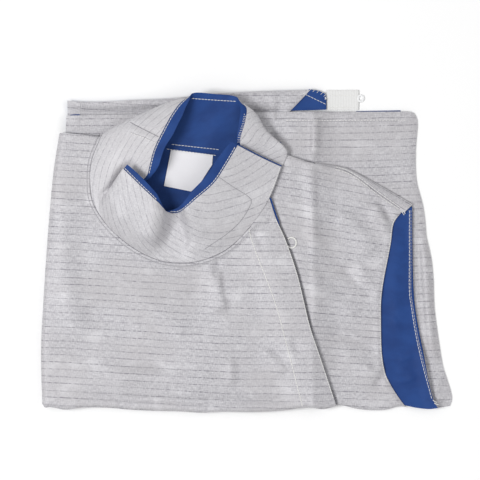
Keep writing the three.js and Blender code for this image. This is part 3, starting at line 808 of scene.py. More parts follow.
def place_right_front(flat):
    s, t = flat.T
    centre = wrap_centre(np.maximum(t, -160.0))
    around = np.clip((centre - s) / LEFT_TURN, 0.0, math.pi)
    under = np.maximum(centre - math.pi * LEFT_TURN - s, 0.0)
    x = np.where(s > centre, s, centre - LEFT_TURN * np.sin(around) + under)
    radius = BOTTOM_TURN + (THIN_TURN - BOTTOM_TURN) * smooth(around / math.pi)
    y, inset = turn_under(t, bottom_at(x), radius)
    flat_top = LEVEL["front"] + RISE
    over = front_height(x, y, True) - flat_top
    z = flat_top - LEFT_TURN * (1 - np.cos(around)) + over * np.maximum(np.cos(around), 0)
    out_x, out_z = -np.sin(around), np.cos(around)
    return np.stack([x - inset * out_x, y, z - inset * out_z], 1)


# %% Stripes, and the points where the bottom edge rolls under
STRIPE_LEAN = [(-210, -0.035), (-150, -0.064), (-60, -0.062), (-15, -0.03), (15, 0.0), (70, 0.0)]
LEFT_LEAN = [(30, -0.03), (62, -0.04), (160, -0.05)]
LEFT_FAN = 0.12
LOWER_BACK_LEAN = [(-190, 0.0), (60, 0.0), (120, 0.022), (170, 0.03), (200, 0.02)]


def stripe_map(lean, x, y):
    """Marks of level stripes that lean by a given slope at each x."""
    spacing = 2.0
    steps = np.arange(-440.0, 260.0, spacing)
    slope = np.interp(steps, *np.array(lean, float).T)
    climb = np.cumsum(slope) * spacing
    return np.stack([x, y - np.interp(x, steps, climb)], 1)


def band_rows(low_x, high_x, step, radius):
    """Loose points close together where the bottom edge rolls under."""
    x = np.arange(low_x, high_x, step)
    rows = []
    for k, past in enumerate(np.arange(0.0, math.pi * radius + 3.0, 1.15)):
        t = bottom_at(x) + radius + 2.0 - past
        rows.append(np.stack([x + (k % 2) * step / 2, t], 1))
    return np.vstack(rows)


# %% The cut of the right front, and its cloth
NECK_MIDDLE, NECK_SPAN, NECK_TUCK = (-66, 60), 90, 3.5


def right_front_cut():
    """Round by the overlap's edge, the bottom fold, the side folded under and the neck."""
    turn_length = math.pi * LEFT_TURN
    rolled = (math.pi - 1) * BOTTOM_TURN
    low, top = wrap_centre(SIDE_LOW), wrap_centre(SIDE_TOP)
    edge = walk(overlap_line, 2.2)
    bottom_x = np.arange(edge[-1][0], low, -2.2)
    bottom = np.stack([bottom_x, bottom_at(bottom_x) - rolled], 1)
    corner = (low - turn_length, bottom_at(left_at(SIDE_LOW)) - rolled * 0.2)
    wrap_low = walk([bottom[-1], (low - turn_length * 0.5, bottom[-1][1] + 1.5), corner], 2.0)
    far_low, far_top = (c - turn_length - (UNDER_END - c) for c in (low, top))
    far_side = [(far_low, bottom_at(UNDER_END) - 0.5), (far_top, SIDE_TOP), (top, SIDE_TOP)]
    under = walk([corner, *far_side], 6.0)
    seam = np.array(NECK_SEAM, float)
    tucked = seam + NECK_TUCK * (np.array(NECK_MIDDLE, float) - seam) / NECK_SPAN
    neck = walk(soft(tucked, 4), 2.2)
    return np.vstack([edge[:-1], bottom, wrap_low[1:], under[1:], neck[::-1][:-1]])


def right_front():
    turn_length = math.pi * LEFT_TURN
    over = net((-205, -160), (95, 120), 2.5)
    over = over[over[:, 0] > left_at(over[:, 1]) + LEFT_TURN + 1.5]
    over = over[over[:, 1] > bottom_at(over[:, 0]) + BOTTOM_TURN + 2.6]
    turned = []
    for k, y in enumerate(np.arange(-154.0, SIDE_TOP, 2.8)):
        around = np.linspace(0.02, 1.0, 15) * turn_length
        turned.append(np.stack([wrap_centre(y) - around, np.full(15, y + (k % 2) * 0.4)], 1))
    below = net((-480, -156), (-212, 116), 7.0)
    below = below[below[:, 0] < left_at(below[:, 1]) + LEFT_TURN - turn_length - 3]
    loose = np.vstack([over, *turned, below, band_rows(-204.0, 93.0, 2.4, BOTTOM_TURN)])
    outline = right_front_cut()
    flat, faces = fill(outline, loose, 1.0)
    marks = stripe_map(STRIPE_LEAN, flat[:, 0], flat[:, 1])
    made = skin("right_front", place_right_front(flat), faces, marks, SILVER, SILVER_WALL, BLUE)
    settle(made, outline)


right_front()

# %% [markdown]
# ## The other panels
# A panel that only lies flat needs its outline and its height. `flat_panel` fills the outline and
# lifts it. The left front also rolls round the bottom fold, so its outline runs past that fold,
# and the facing is a narrow strip of lining that peeps out from under the overlap.

# %% Flat panels
def flat_panel(name, outline, height, lean, step, cloth, wall, under=None, cut=None):
    """A panel over an outline at a height; `cut` is handed to `settle` in place of the outline."""
    outline = np.asarray(outline, float)
    loose = net(outline.min(axis=0), outline.max(axis=0), step)
    flat, faces = fill(outline, loose, step * 0.45)
    x, y = flat.T
    points = np.stack([x, y, height(x, y)], 1)
    made = skin(name, points, faces, stripe_map(lean, x, y), cloth, wall, under)
    settle(made, outline if cut is None else cut)


def bottom_run(from_x, to_x, inset, step=2.4):
    """The bottom fold from one x to another, moved up by an inset."""
    x = np.linspace(from_x, to_x, max(2, round(abs(to_x - from_x) / step)))
    return np.stack([x, bottom_at(x) + inset], 1)


# %% Left front and facing
def left_front():
    rolled = (math.pi - 1) * BOTTOM_TURN
    armhole, seam = soft(ARMHOLE_FRONT, 6), soft(SHOULDER_SEAM, 5)
    underlap = walk(overlap_line[overlap_line[:, 1] > -150] - (16, 0), 3.0)
    outline = np.vstack([
        underlap[::-1], [(14, 66), (34, 86)], walk(seam, 2.0), walk(armhole[:-1], 2.0)[1:],
        bottom_run(159.5, 76, -rolled),
    ])[::-1]
    body = net(outline.min(axis=0), outline.max(axis=0), 2.4)
    body = body[body[:, 1] > bottom_at(body[:, 0]) + BOTTOM_TURN + 2.6]
    flat, faces = fill(outline, np.vstack([body, band_rows(70.0, 160.0, 2.4, BOTTOM_TURN)]), 1.0)
    x, t = flat.T
    y, inset = turn_under(t, bottom_at(x), BOTTOM_TURN)
    from_hole, _, _ = away_from(armhole, x, y)
    from_seam, _, _ = away_from(seam, x, y)
    z = front_height(x, y, False) - inset
    z = z - 0.9 * (1 - smooth(from_hole / 2.4)) + 0.5 * hump(from_hole - 3.6, 2.4)
    z = z - 0.6 * (1 - smooth(from_seam / 1.6)) + 0.45 * hump(from_seam - 2.4, 1.6)
    z = np.maximum(z - 2.6 * smooth((overlap_at(y) + 5 - x) / 9), LOWEST)
    marks = stripe_map(LEFT_LEAN, x, t)
    marks[:, 1] += LEFT_FAN * (x - 60) * np.clip((t + 130) / 150, 0, 1.2)
    made = skin("left_front", np.stack([x, y, z], 1), faces, marks, SILVER, SILVER_WALL, BLUE)
    settle(made, outline)


def front_facing():
    edge = overlap_line[overlap_line[:, 1] > -150]
    bare = 3.0 * smooth((edge[:, 1] - 18) / 12) - 1.0
    shown = edge + np.stack([bare, np.zeros(len(edge))], 1)
    outline = np.vstack([walk(shown, 2.2), walk(edge - (14, 0), 3.0)[::-1]])

    def height(x, y):
        return front_height(x, y, True) - 1.15 + 0.5 * smooth((x - overlap_at(y) + 2.5) / 2.5)

    flat_panel(
        "front_facing", outline, height, LEFT_LEAN, 2.6, BLUE, LINING_WALL, cut=(15.5, 216.0)
    )


left_front()
front_facing()

# %% [markdown]
# ## Lower front and lower back
# Both are folded under at the bottom and lie below the front. The lower back shows at the right
# and along the top, where its hem is turned and stitched, and it rolls down at its side fold.

# %% Lower front
side_line = soft(SIDE_FOLD, 5)


def lower_front():
    cut = np.vstack([
        [(-177, 135.6), (-168, 136.0), (-164, 132), (104, 133), (110, 139.5), (154, 140.2)],
        part_of(side_line - (14, 0), -150, 136),
        bottom_run(190, -186, BOTTOM_TURN + 0.4),
    ])[::-1]

    def height(x, y):
        return layer("front_lower", x, y)

    outline = walk(cut, 5.0, True)
    flat_panel(
        "lower_front", outline, height, LOWER_BACK_LEAN, 5.0, BLUE, SILVER_WALL, SILVER, cut
    )


lower_front()

# %% Lower back
HEM_LINE = [(-181, 134.5), (-60, 136.5), (26, 138), (100, 138.6), (161, 138.9)]
HEM_DEPTH = 8.6
HEM_CORNER = [(161, 138.9), (166.5, 137.2), (169.6, 133)]
hem_line = soft(HEM_LINE, 6)


def side_at(y):
    return np.interp(y, side_line[::-1, 1], side_line[::-1, 0])


def lower_back_height(x, y):
    z = layer("back_lower", x, y)
    z = z + creases(LOWER_BACK_CREASES, x, y)
    past = x - (side_at(y) - 7.0)
    z = z - 1.5 * smooth(past / 7.0) ** 2
    from_hem = np.interp(x, hem_line[:, 0], hem_line[:, 1]) - y
    ridge = 0.55 * smooth((HEM_DEPTH - 0.5 - from_hem) / 1.6) * smooth(from_hem / 1.6)
    groove = 0.4 * hump(from_hem - HEM_DEPTH, 0.8)
    return np.maximum(z + ridge - groove, LOWEST)


def lower_back():
    outline = np.vstack([
        walk(hem_line, 2.6),
        walk(soft(HEM_CORNER, 5), 1.6)[1:],
        walk(part_of(side_line, -153, 131), 2.4),
        bottom_run(203.5, 190, 0.8),
        bottom_run(186, -190, 4.6),
        walk([(-190, bottom_at(-190.0) + 4.6), (-182, 105), (-181, 134.5)], 6.0)[1:-1],
    ])[::-1]
    flat_panel(
        "lower_back", outline, lower_back_height, LOWER_BACK_LEAN, 2.7, SILVER, SILVER_WALL, BLUE
    )


lower_back()

# %% [markdown]
# ## Upper back, shoulder and the linings that show
# The upper back lies face down inside the pack. A strip of it comes over the shoulder fold to the
# seam on the front, and its lining shows through the armhole and the neck. The lining of the
# armhole is lifted along the lower part of its edge.

# %% Upper back
def upper_back():
    fold = soft(SHOULDER_FOLD, 5) - (1.0, 1.0)
    hole = part_of(soft(ARMHOLE_BACK, 5), -152, 41)
    outline = np.vstack([
        walk([(-150, 108), (34, 108)], 6.0), walk(fold, 3.0), walk(hole, 2.6),
        bottom_run(188, -150, 4.6),
    ])[::-1]

    def height(x, y):
        return layer("back_upper", x, y)

    flat_panel(
        "upper_back", outline, height, LOWER_BACK_LEAN, 4.5, BLUE, SILVER_WALL, SILVER
    )


upper_back()

# %% Shoulder strip
def evenly(line, count):
    """The line with a given number of points, evenly along its own points."""
    at = np.linspace(0, len(line) - 1, count)
    return np.stack([np.interp(at, np.arange(len(line)), line[:, k]) for k in (0, 1)], 1)


def shoulder_strip():
    """The back comes over the shoulder fold and meets the front at a double-stitched seam."""
    seam = walk(soft([*SHOULDER_SEAM[1:], (157.5, 37.5)], 5), 2.0)
    fold = walk(soft(SHOULDER_FOLD[1:], 5), 2.0)
    count, across = 90, 9
    seam, fold = evenly(seam, count), evenly(fold, count)
    apart = np.maximum(np.linalg.norm(fold - seam, axis=1, keepdims=True), 0.5)
    rows = []
    for j in range(across + 4):
        if j <= across:
            share = j / across
            plan = seam + (fold - seam) * share
            drop = 2.6 * share**2.2
        else:
            turn = (j - across) / 4 * math.pi * 0.75
            plan = fold - 0.9 * (1 - math.cos(turn)) * (fold - seam) / apart
            drop = 2.6 + 1.3 * math.sin(turn * 0.7)
        z = LEVEL["front"] + rise(plan[:, 0]) + billow(plan[:, 0], plan[:, 1]) * 0.9 - drop - 0.15
        rows.append(np.stack([plan[:, 0], plan[:, 1], z], 1))
    points = np.stack(rows, 1)
    faces = grid_faces(count, across + 4)
    u = np.linspace(0, 108, count)[:, None] * np.ones(across + 4)
    v = np.ones((count, 1)) * np.linspace(0, 17, across + 4)
    marks = np.stack([u.ravel(), v.ravel()], 1)
    made = skin("shoulder_strip", points.reshape(-1, 3), faces, marks, SILVER, SILVER_WALL)
    settle(made, (108.0, 11.0))


shoulder_strip()

# %% Linings of the armhole and the neck
def armhole_height(x, y):
    z = layer("lining", x, y)
    z = z + creases(ARMHOLE_CREASES, x, y)
    from_edge, _, _ = away_from(soft(ARMHOLE_BACK, 5), x, y)
    hem = 0.5 * smooth(from_edge / 1.0) * smooth((4.4 - from_edge) / 1.2)
    hem = hem + 3.6 * smooth((-84 - y) / 34) * (1 - smooth(from_edge / 13))
    return z + hem - 0.35 * hump(from_edge - 3.2, 0.6)


def neck_height(x, y):
    return LEVEL["lining"] + rise(x) + 0.35 + 0.3 * billow(x, y)


def armhole_lining():
    hole = soft(ARMHOLE_BACK, 5) - (0.5, 0.8)
    hole = walk(hole[hole[:, 1] > -155], 2.0)
    bottom = [bottom_run(191, 150, 1.6), bottom_run(146, 126, 4.6)]
    cut = np.vstack([[(138, 24), (146, 36)], hole, *bottom])[::-1]
    flat_panel(
        "armhole_lining_cloth", walk(cut, 2.4, True), armhole_height, LEFT_LEAN, 2.6,
        BLUE, LINING_WALL, cut=cut,
    )


def neck_lining():
    cut = [(-112, 106), (-128, 60), (-110, 14), (-70, 2), (-30, 10), (12, 62), (28, 106)]
    flat_panel(
        "neck_lining_cloth", walk(cut, 3.0, True), neck_height, LEFT_LEAN, 3.0,
        BLUE, LINING_WALL, cut=cut,
    )


armhole_lining()
neck_lining()

# %% [markdown]
# ## The collar
# The stand collar is one band in three pieces. It leans back behind the neck, folds over itself
# at one side and ends in the closing flap. Each row of the table is a section of the band: its
# foot on the neck seam, the place half way up where the cloth bows, its silver edge, and how much
# of the blue lining stands past that edge. Soft curves through the columns give the surface, and
# a few presses in plan add the dent under the pinch and the folds that run from it.

# %% Sections of the collar
# Columns: foot, bow, edge, and the width of the lining's band.
COLLAR = [
    ((34, 83), (12, 93, 25), (-9.5, 104, 33), 8),
    ((22, 52), (0, 68, 26), (-21, 84.5, 34), 11),
    ((3, 24), (-16, 44, 28), (-33, 66.5, 35.5), 11),
    ((-21, 1), (-36, 25, 28), (-50, 51.5, 36), 9),
    ((-51, -11), (-60, 12, 23), (-67, 38, 34), 5),
    ((-70, -12), (-76.5, 9, 18), (-80, 38.2, 26.6), 0.6),
    ((-86, -10), (-88, 9, 19), (-84, 42, 33), 3),
    ((-107, -1), (-102, 17, 28), (-91, 50, 40), 6),
    ((-129, 15), (-119, 33, 31), (-103, 61.5, 42), 7),
    ((-139, 25), (-129, 44, 30), (-113, 71.5, 42.5), 7),
    ((-147, 36), (-135.5, 60, 28.5), (-122, 80.5, 41), 6),
    ((-149.5, 40), (-135.5, 61, 23), (-115, 75, 34), 5),
    ((-151, 43.5), (-134, 60, 20.5), (-107, 68, 29.5), 5),
    ((-152.5, 47.5), (-134.5, 64, 22.5), (-99.5, 74, 31), 6),
    ((-156, 64), (-133, 73, 24.5), (-97, 82, 33), 10),
    ((-155, 88), (-129, 92, 27), (-92.5, 99, 34), 11),
    ((-144, 115), (-119, 124, 25), (-83, 119, 34), 11),
    ((-122, 112), (-100, 137, 22), (-73, 137, 31.5), 10),
    ((-100, 106), (-80, 141, 18), (-64, 148, 28), 7),
    ((-79, 103), (-66, 130, 16), (-56, 152, 23), 5),
    ((-54, 100), (-44, 128, 15), (-33, 151, 20), 5),
    ((-28, 96), (-16, 124, 15), (-11, 148, 21.5), 5),
    ((-6, 95), (10, 126, 18), (-1, 142, 26), 7),
    ((14, 97), (19.5, 117.5, 21), (-2, 128, 29), 6),
    ((36.5, 95.5), (33, 102.5, 19.5), (-7, 109, 28), 3),
    ((35.5, 82), (23, 85, 15.5), (-4, 94, 20), 1),
]
COLLAR_PARTS = {"right": (0, 16), "back": (16, 22), "left": (22, 25)}
BACK_ROWS = (17.0, 21.5)
PER_ROW = 8
# Dents and folds, with the columns of the crease tables; the second table is for the far wall.
PRESSES = [
    (9.6, 6.4, 12, [(-81, 46), (-87, 26), (-96, 4)]),
    (-12.6, 6, 12, [(-70, 46), (-66, 24), (-64, 0)]),
    (2.4, 9, 3, [(-66, 44), (-55, 30), (-42, 11)]),
    (-1, 0.9, 1.2, [(-117, 127), (-100, 119), (-84, 112)]),
    (0.8, 2, 3, [(-118, 123), (-101, 115), (-85, 108)]),
    (0.9, 4, 6, [(-132, 54), (-124, 38), (-117, 24)]),
    (-0.8, 4, 5, [(-104, 44), (-103, 22), (-96, 2)]),
    (0.8, 5, 7, [(-24, 66), (-8, 52), (10, 40)]),
    (0.7, 4, 5, [(-60, 6), (-40, 3), (-22, 8)]),
    (0.9, 9, 9, [(-36, 138), (-30, 120), (-40, 106)]),
]
WALL_PRESSES = [
    (-9, 2, 4.2, [(-112, 88), (-124, 75), (-133, 62), (-147, 43)]),
]


def collar_net():
    """Foot, bow, edge and band at every fraction of a row."""
    foot, bow, edge = (soft(column, PER_ROW) for column in list(zip(*COLLAR))[:3])
    rows = np.arange(len(foot)) / PER_ROW
    x, y = foot.T
    behind = smooth((rows - BACK_ROWS[0] + 1) / 1.0) * smooth((BACK_ROWS[1] + 1 - rows) / 1.0)
    on_front = front_height(x, y, True) * (rows < 5) + front_height(x, y, False) * (rows >= 5)
    z = (1 - behind) * (on_front + 0.7) + behind * (neck_height(x, y) + 0.8)
    band = np.interp(rows, np.arange(len(COLLAR)), [row[3] for row in COLLAR])
    return rows, np.stack([x, y, z], 1), bow, edge, band


ROWS, FOOT, BOW, EDGE, BAND = collar_net()
OUTER_HEIGHTS = np.linspace(0, 1, 25)
LINING_HEIGHTS = np.concatenate([OUTER_HEIGHTS, [1.2, 1.45, 1.7, 1.9, 2.0]])
ONWARD = unit(FOOT - 4 * BOW + 3 * EDGE)
print("collar rows:", len(COLLAR), "highest edge, mm:", round(float(EDGE[:, 2].max()), 1))


def collar_surface(heights):
    """Points of the collar's middle surface and its outward directions; past 1 is the band."""
    h = np.minimum(heights, 1.0)[None, :, None]
    weights = (2 * (h - 0.5) * (h - 1), 4 * h * (1 - h), 2 * h * (h - 0.5))
    points = sum(w * line[:, None, :] for w, line in zip(weights, (FOOT, BOW, EDGE)))
    past = np.maximum(heights - 1.0, 0.0)[None, :, None]
    points = points + past * BAND[:, None, None] * ONWARD[:, None, :]
    points[..., 2] -= 1.2 * (past[..., 0] ** 2)
    inside = smooth(np.minimum(heights, 1.0) / 0.15)[None, :]
    pleat = 1 - smooth((ROWS - 9.5) / 1.0) * smooth((13.2 - ROWS) / 0.8)
    behind_fold = smooth((ROWS - 12.4) / 0.8)
    pressed = creases(PRESSES, points[..., 0], points[..., 1]) * pleat[:, None]
    pressed += creases(WALL_PRESSES, points[..., 0], points[..., 1]) * behind_fold[:, None]
    points[..., 2] += pressed * inside
    floor_z = front_height(points[..., 0], points[..., 1], False) + 0.9
    on_body = (ROWS < 15.5)[:, None]
    points[..., 2] = np.where(on_body, np.maximum(points[..., 2], floor_z), points[..., 2])
    return points, unit(np.cross(np.gradient(points, axis=1), np.gradient(points, axis=0)))


# %% Collar pieces
OUTER_OFF, LINING_OFF = 0.55, -0.45
STRIPE_TURN = [(9.5, 54), (13, 76), (18, 70), (22, 54)]


def collar_marks(points, rows):
    """Marks of stripes that cross the band at an angle, from lengths along and up the cloth."""
    angle = np.radians(np.interp(rows, *np.array(STRIPE_TURN, float).T))
    steps_up = np.linalg.norm(np.diff(points, axis=1), axis=2)
    up = np.concatenate([np.zeros((len(points), 1)), np.cumsum(steps_up, axis=1)], axis=1)
    middle = points[:, points.shape[1] // 2]
    steps = np.linalg.norm(np.diff(middle, axis=0), axis=1)
    lean_cos, lean_sin = np.cos(angle)[:, None], np.sin(angle)[:, None]
    level = np.concatenate([[0.0], np.cumsum(steps * np.sin(angle[1:]))])[:, None] + up * lean_cos
    across = np.concatenate([[0.0], np.cumsum(steps * np.cos(angle[1:]))])[:, None] - up * lean_sin
    return np.stack([level, across], 2)


def collar_piece(part, outer):
    first, last = (row * PER_ROW for row in COLLAR_PARTS[part])
    heights = OUTER_HEIGHTS if outer else LINING_HEIGHTS
    points, out = collar_surface(heights)
    points = points + out * (OUTER_OFF if outer else LINING_OFF)
    points = points[first : last + 1]
    marks = collar_marks(points, ROWS[first : last + 1])
    rows, columns = points.shape[:2]
    faces = [tuple(reversed(f)) for f in grid_faces(rows, columns)]
    cloth, wall = (SILVER_COLLAR_PAINTED_LIGHT, SILVER_WALL) if outer else (BLUE, LINING_WALL)
    name = f"collar_{part}_{'shell' if outer else 'inside'}"
    made = skin(name, points.reshape(-1, 3), faces, marks.reshape(-1, 2), cloth, wall)
    width = np.linalg.norm(np.diff(points, axis=0), axis=2).sum(axis=0).mean()
    height = np.linalg.norm(np.diff(points, axis=1), axis=2).sum(axis=1).mean()
    settle(made, (width, height))


for part in COLLAR_PARTS:
    collar_piece(part, True)
    collar_piece(part, False)


# %% [markdown]
# ## Small pieces
# The label is a satin tab sewn in under the back neck seam. The folded side shows one leaf above
# the hem, and the next leaf's corner is turned so that its lining shows. A wide elastic strap is
# sewn to the front hem with a clear ring beside it, and a small cord loop sits on the overlap.

# %% Label
LABEL_CUT = [(-76, 100), (-34, 95), (-35, 85), (-48, 65), (-56, 58.5), (-83, 64)]


def size_label():
    def height(x, y):
        curl = 0.9 * smooth((70 - y) / 14) + 0.5 * np.sin(x / 7.0) * smooth((90 - y) / 30)
        return neck_height(x, y) + 0.9 + np.maximum(curl, -0.2)

    outline = walk(LABEL_CUT, 1.6, True)[::-1]
    flat_panel("label_tab", outline, height, LEFT_LEAN, 1.8, LABEL_SATIN, 0.4, cut=LABEL_CUT)


size_label()

# %% Leaf and turned corner
LEAF_LEVEL = 5.8
LEAF_CREASES = [
    (1.35, 4, 2.5, [(24, 160), (26, 148), (27, 138)]),
    (-1.05, 3, 3, [(-176, 138), (-120, 139), (-70, 144)]),
    (0.9, 2, 3, [(-167, 150), (-166, 134)]),
    (0.9, 5, 5, [(-30, 156), (-12, 146), (6, 142)]),
]


def leaf_height(x, y):
    diagonal, _, _ = away_from([(43, 139), (63, 160)], x, y)
    hem = np.interp(x, *np.array(LEAF_HEM, float).T) - y
    roll = 1.4 * (1 - smooth(diagonal / 3.0)) + 0.9 * (1 - smooth(hem / 2.6))
    roll = roll + 3.6 * smooth((148 - y) / 10) * smooth((40 - x) / 12)
    return LEAF_LEVEL + 0.9 + creases(LEAF_CREASES, x, y) + 0.35 * billow(x, y) - roll


def folded_leaf():
    hem = walk(soft(LEAF_HEM, 5), 2.4)
    rest = walk([(63, 160), (43, 139), (43, 60), (-170, 60), (-180, 120), (-180, 149.6)], 3.0)
    outline = np.vstack([hem, rest[1:-1]])[::-1]
    flat_panel(
        "folded_leaf", outline, leaf_height, STRIPE_LEAN, 3.0, SILVER, SILVER_WALL, BLUE
    )


def turned_corner():
    cut = [(42, 139.5), (62.5, 161.3), (72, 159.6), (78, 157), (79.6, 153), (79.6, 140.8)]

    def height(x, y):
        past = (x - 42) * 0.7 - (y - 139.5) * 0.7
        return LEAF_LEVEL - 1.2 + 0.5 * np.sin(x / 5 + y / 8) - 1.6 * smooth((past + 2) / 30)

    outline = walk(cut, 1.6, True)[::-1]
    flat_panel("turned_corner", outline, height, LEFT_LEAN, 1.8, BLUE, LINING_WALL, cut=cut)


folded_leaf()
turned_corner()

# %% [markdown]
# ## Hidden layers of the folded side
# The side that is folded under can't be seen from above. One rounded body stands for all of its
# layers, with a groove between each layer and the next, so that its edge still reads as a stack.

# %% Hidden layers
LAYERS, LAYER_STEP, CORE_FOOT = 4, 0.8, 1.5
CORE_MIDDLE = np.array([-68.0, -10.0])


def folded_core():
    left = [(-196, bottom_at(-196.0) + 5), (-197, -60), (-190, 20), (-182, 100), (-178, 140)]
    rim = np.vstack([
        walk([(-178, 140), (58, 138), (60, 60), (60, bottom_at(60.0) + 5)], 6.0),
        bottom_run(58, -190, 5.0, 6.0),
        walk(left, 6.0)[:-1],
    ])[::-1]
    away = rim - CORE_MIDDLE
    length = np.linalg.norm(away, axis=1, keepdims=True)
    rings, marks = [], []
    for number in range(LAYERS):
        for turn in np.linspace(-0.44, 0.44, 5) * math.pi:
            z = CORE_FOOT + LAYER_STEP * number + 0.4 + 0.4 * math.sin(turn)
            inset = 0.9 * (1 - math.cos(turn)) + 0.7 * (number % 2) + 0.5
            plan = CORE_MIDDLE + away * (1 - inset / length)
            rings.append(np.column_stack([plan, np.full(len(plan), z)]))
            marks.append(plan + (0, 4 * z))
    points, marks = np.vstack(rings), np.vstack(marks)
    faces = ring_faces(len(rings), len(rim))
    settle(make_object("folded_side", points, faces, marks, [SILVER], 35), (262.0, 300.0))


folded_core()

# %% [markdown]
# ## Strap, ring and cord loop
# The strap is woven elastic, so its ribs run along it. The ring beside it is slightly oval, and
# the loop on the overlap is plied cord whose two ends go in under the edge. Both are tubes along
# a path, since a tube keeps its thickness round every bend.

# %% Strap, ring and cord loop
def tube_parts(path, radius, sides, closed=False, twist=0.0):
    """Points, faces and marks of a round cord; a twist gives it two plied ridges."""
    path = np.asarray(path, float)
    ahead = np.roll(path, -1, 0) - np.roll(path, 1, 0) if closed else np.gradient(path, axis=0)
    ahead = unit(ahead)
    side = unit(np.cross(ahead, (0.0, 0.0, 1.0)))
    lift = np.cross(side, ahead)
    angles = np.arange(sides) / sides * math.tau
    length = lengths_along(path)
    ply = 1 + 0.16 * np.cos(2 * (angles[None, :] - length[:, None] * twist)) * (twist > 0)
    reach = radius * ply[..., None]
    over = reach * np.cos(angles)[None, :, None] * side[:, None]
    rings = path[:, None] + over + reach * np.sin(angles)[None, :, None] * lift[:, None]
    around = angles[None, :] * radius * np.ones((len(path), 1))
    marks = np.stack([length[:, None] * np.ones(sides), around], 2)
    faces = ring_faces(len(path), sides, closed)
    return rings.reshape(-1, 3), faces, marks.reshape(-1, 2)


def tube(name, path, radius, material, sides=10, closed=False, twist=0.0):
    rings, faces, marks = tube_parts(path, radius, sides, closed, twist)
    return make_object(name, rings, faces, marks, [material], 0)


def small_piece(made, node=None):
    """Keeps a piece that isn't a sheet under the root, and hides its solid when a node is given."""
    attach(made, "root")
    if node:
        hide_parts(node)
    PIECES[made.name] = made


def crotch_strap():
    left, right, low, high = 80.0, 112.0, 140.6, 160.6
    columns = np.arange(left, right + 0.01, 0.32)
    rolled_end = high - 1.2 + 1.2 * np.sin(np.linspace(0, 1.5, 6))
    rows = np.concatenate([np.arange(low, high - 1.2, 0.8), rolled_end])
    x, y = np.meshgrid(columns, rows)
    rib = 0.06 * np.sin((x - left) / 1.6 * math.tau)
    edge = 0.3 * (1 - smooth(np.minimum(x - left, right - x) / 1.2))
    end = 0.4 * (1 - smooth((high - y) / 1.4))
    z = 1.5 + rib - edge - end + 0.25 * np.sin(x / 9 + 1) * smooth((y - low) / 8)
    points = np.stack([x, y, z], 2)
    faces = [tuple(reversed(f)) for f in grid_faces(len(rows), len(columns))]
    marks = np.stack([x, y], 2).reshape(-1, 2)
    made = skin("elastic_strap", points.reshape(-1, 3), faces, marks, ELASTIC, 0.9)
    settle(made, (right - left, high - low))


crotch_strap()

# %% Ring and loop
RING_AT, RING_WIDE, RING_LONG, RING_THICK = (114, 152.2, 1.15), 2.7, 3.1, 1.1
LOOP_AT, LOOP_WIDE, LOOP_LONG, LOOP_THICK = (44.2, 7.3), 4.9, 5.2, 0.85

turn = np.linspace(0, math.tau, 48, endpoint=False)[:, None]
ring_path = RING_AT + np.hstack([RING_WIDE * np.cos(turn), RING_LONG * np.sin(turn), 0 * turn])
small_piece(tube("clear_ring", ring_path, RING_THICK, CLEAR, 12, True), "strap_ring")

turn = np.linspace(math.radians(132), math.radians(-138), 52)
loop_x, loop_y = LOOP_AT[0] + LOOP_WIDE * np.cos(turn), LOOP_AT[1] + LOOP_LONG * np.sin(turn)
loop_z = front_height(loop_x, loop_y, False) + 0.9 + 1.6 * smooth((42.5 - loop_x) / 3)
loop_path = np.stack([loop_x, loop_y, loop_z], 1)
loop = tube("cord_loop", loop_path, LOOP_THICK, THREAD, 10, False, 1.6)
small_piece(loop, "thread_loop")
print("cord in the loop, mm:", round(float(lengths_along(loop_path)[-1])))

# %% [markdown]
# ## Seams and stitches
# A seam shows as a thin line of painted shade, a dark cord half sunk in the cloth where its groove
# would fall in shade, with a row of stitches beside it. Each row is drawn in plan and dropped onto
# the finished cloth from above, so that it follows every crease. A stitch is a small closed bead of
# thread that dips into the cloth at both ends.

# %% Dropping a line on the cloth
def cloth_tree():
    points, faces = [], []
    for made in PIECES.values():
        start = len(points)
        points += [v.co / MM - Vector(PATTERN_ZERO) for v in made.data.vertices]
        faces += [[start + i for i in p.vertices] for p in made.data.polygons]
    return BVHTree.FromPolygons(points, faces)


CLOTH = cloth_tree()
ABOVE_ALL = 90.0


def dropped(line, step=0.6):
    """Points of the cloth under a line in plan, and which way the cloth faces there."""
    places, ups = [], []
    for x, y in walk(np.asarray(line, float), step):
        place, up, *_ = CLOTH.ray_cast((x, y, ABOVE_ALL), (0.0, 0.0, -1.0))
        if place is not None:
            places.append(place)
            ups.append(up)
    return np.array(places), np.array(ups)


# %% Stitches, and cords of painted seam shade
BEAD_ALONG = np.array([-1.0, -0.82, -0.4, 0.4, 0.82, 1.0])
BEAD_THICK = np.array([0.3, 0.75, 1.0, 1.0, 0.75, 0.3])
BEAD_SIDES = 6
SHADE_CORD_SINK = 0.12
GREY_THREAD = white_weave("grey_thread", (206, 205, 208), 0.7, 0.8, 0.6)
# The two dark finishes below are painted shade: cords that stand for the shade in seam ditches and
# stitch grooves, which the cloth's mesh is too coarse to shade.
SEAM_SHADE_PAINT = white_weave("painted_seam_shade", (122, 120, 128), 0.9, 0.5, 0.8)
STITCH_SHADE_PAINT = white_weave("painted_stitch_shade", (158, 156, 163), 0.9, 0.5, 0.8)
rng = np.random.default_rng(12)


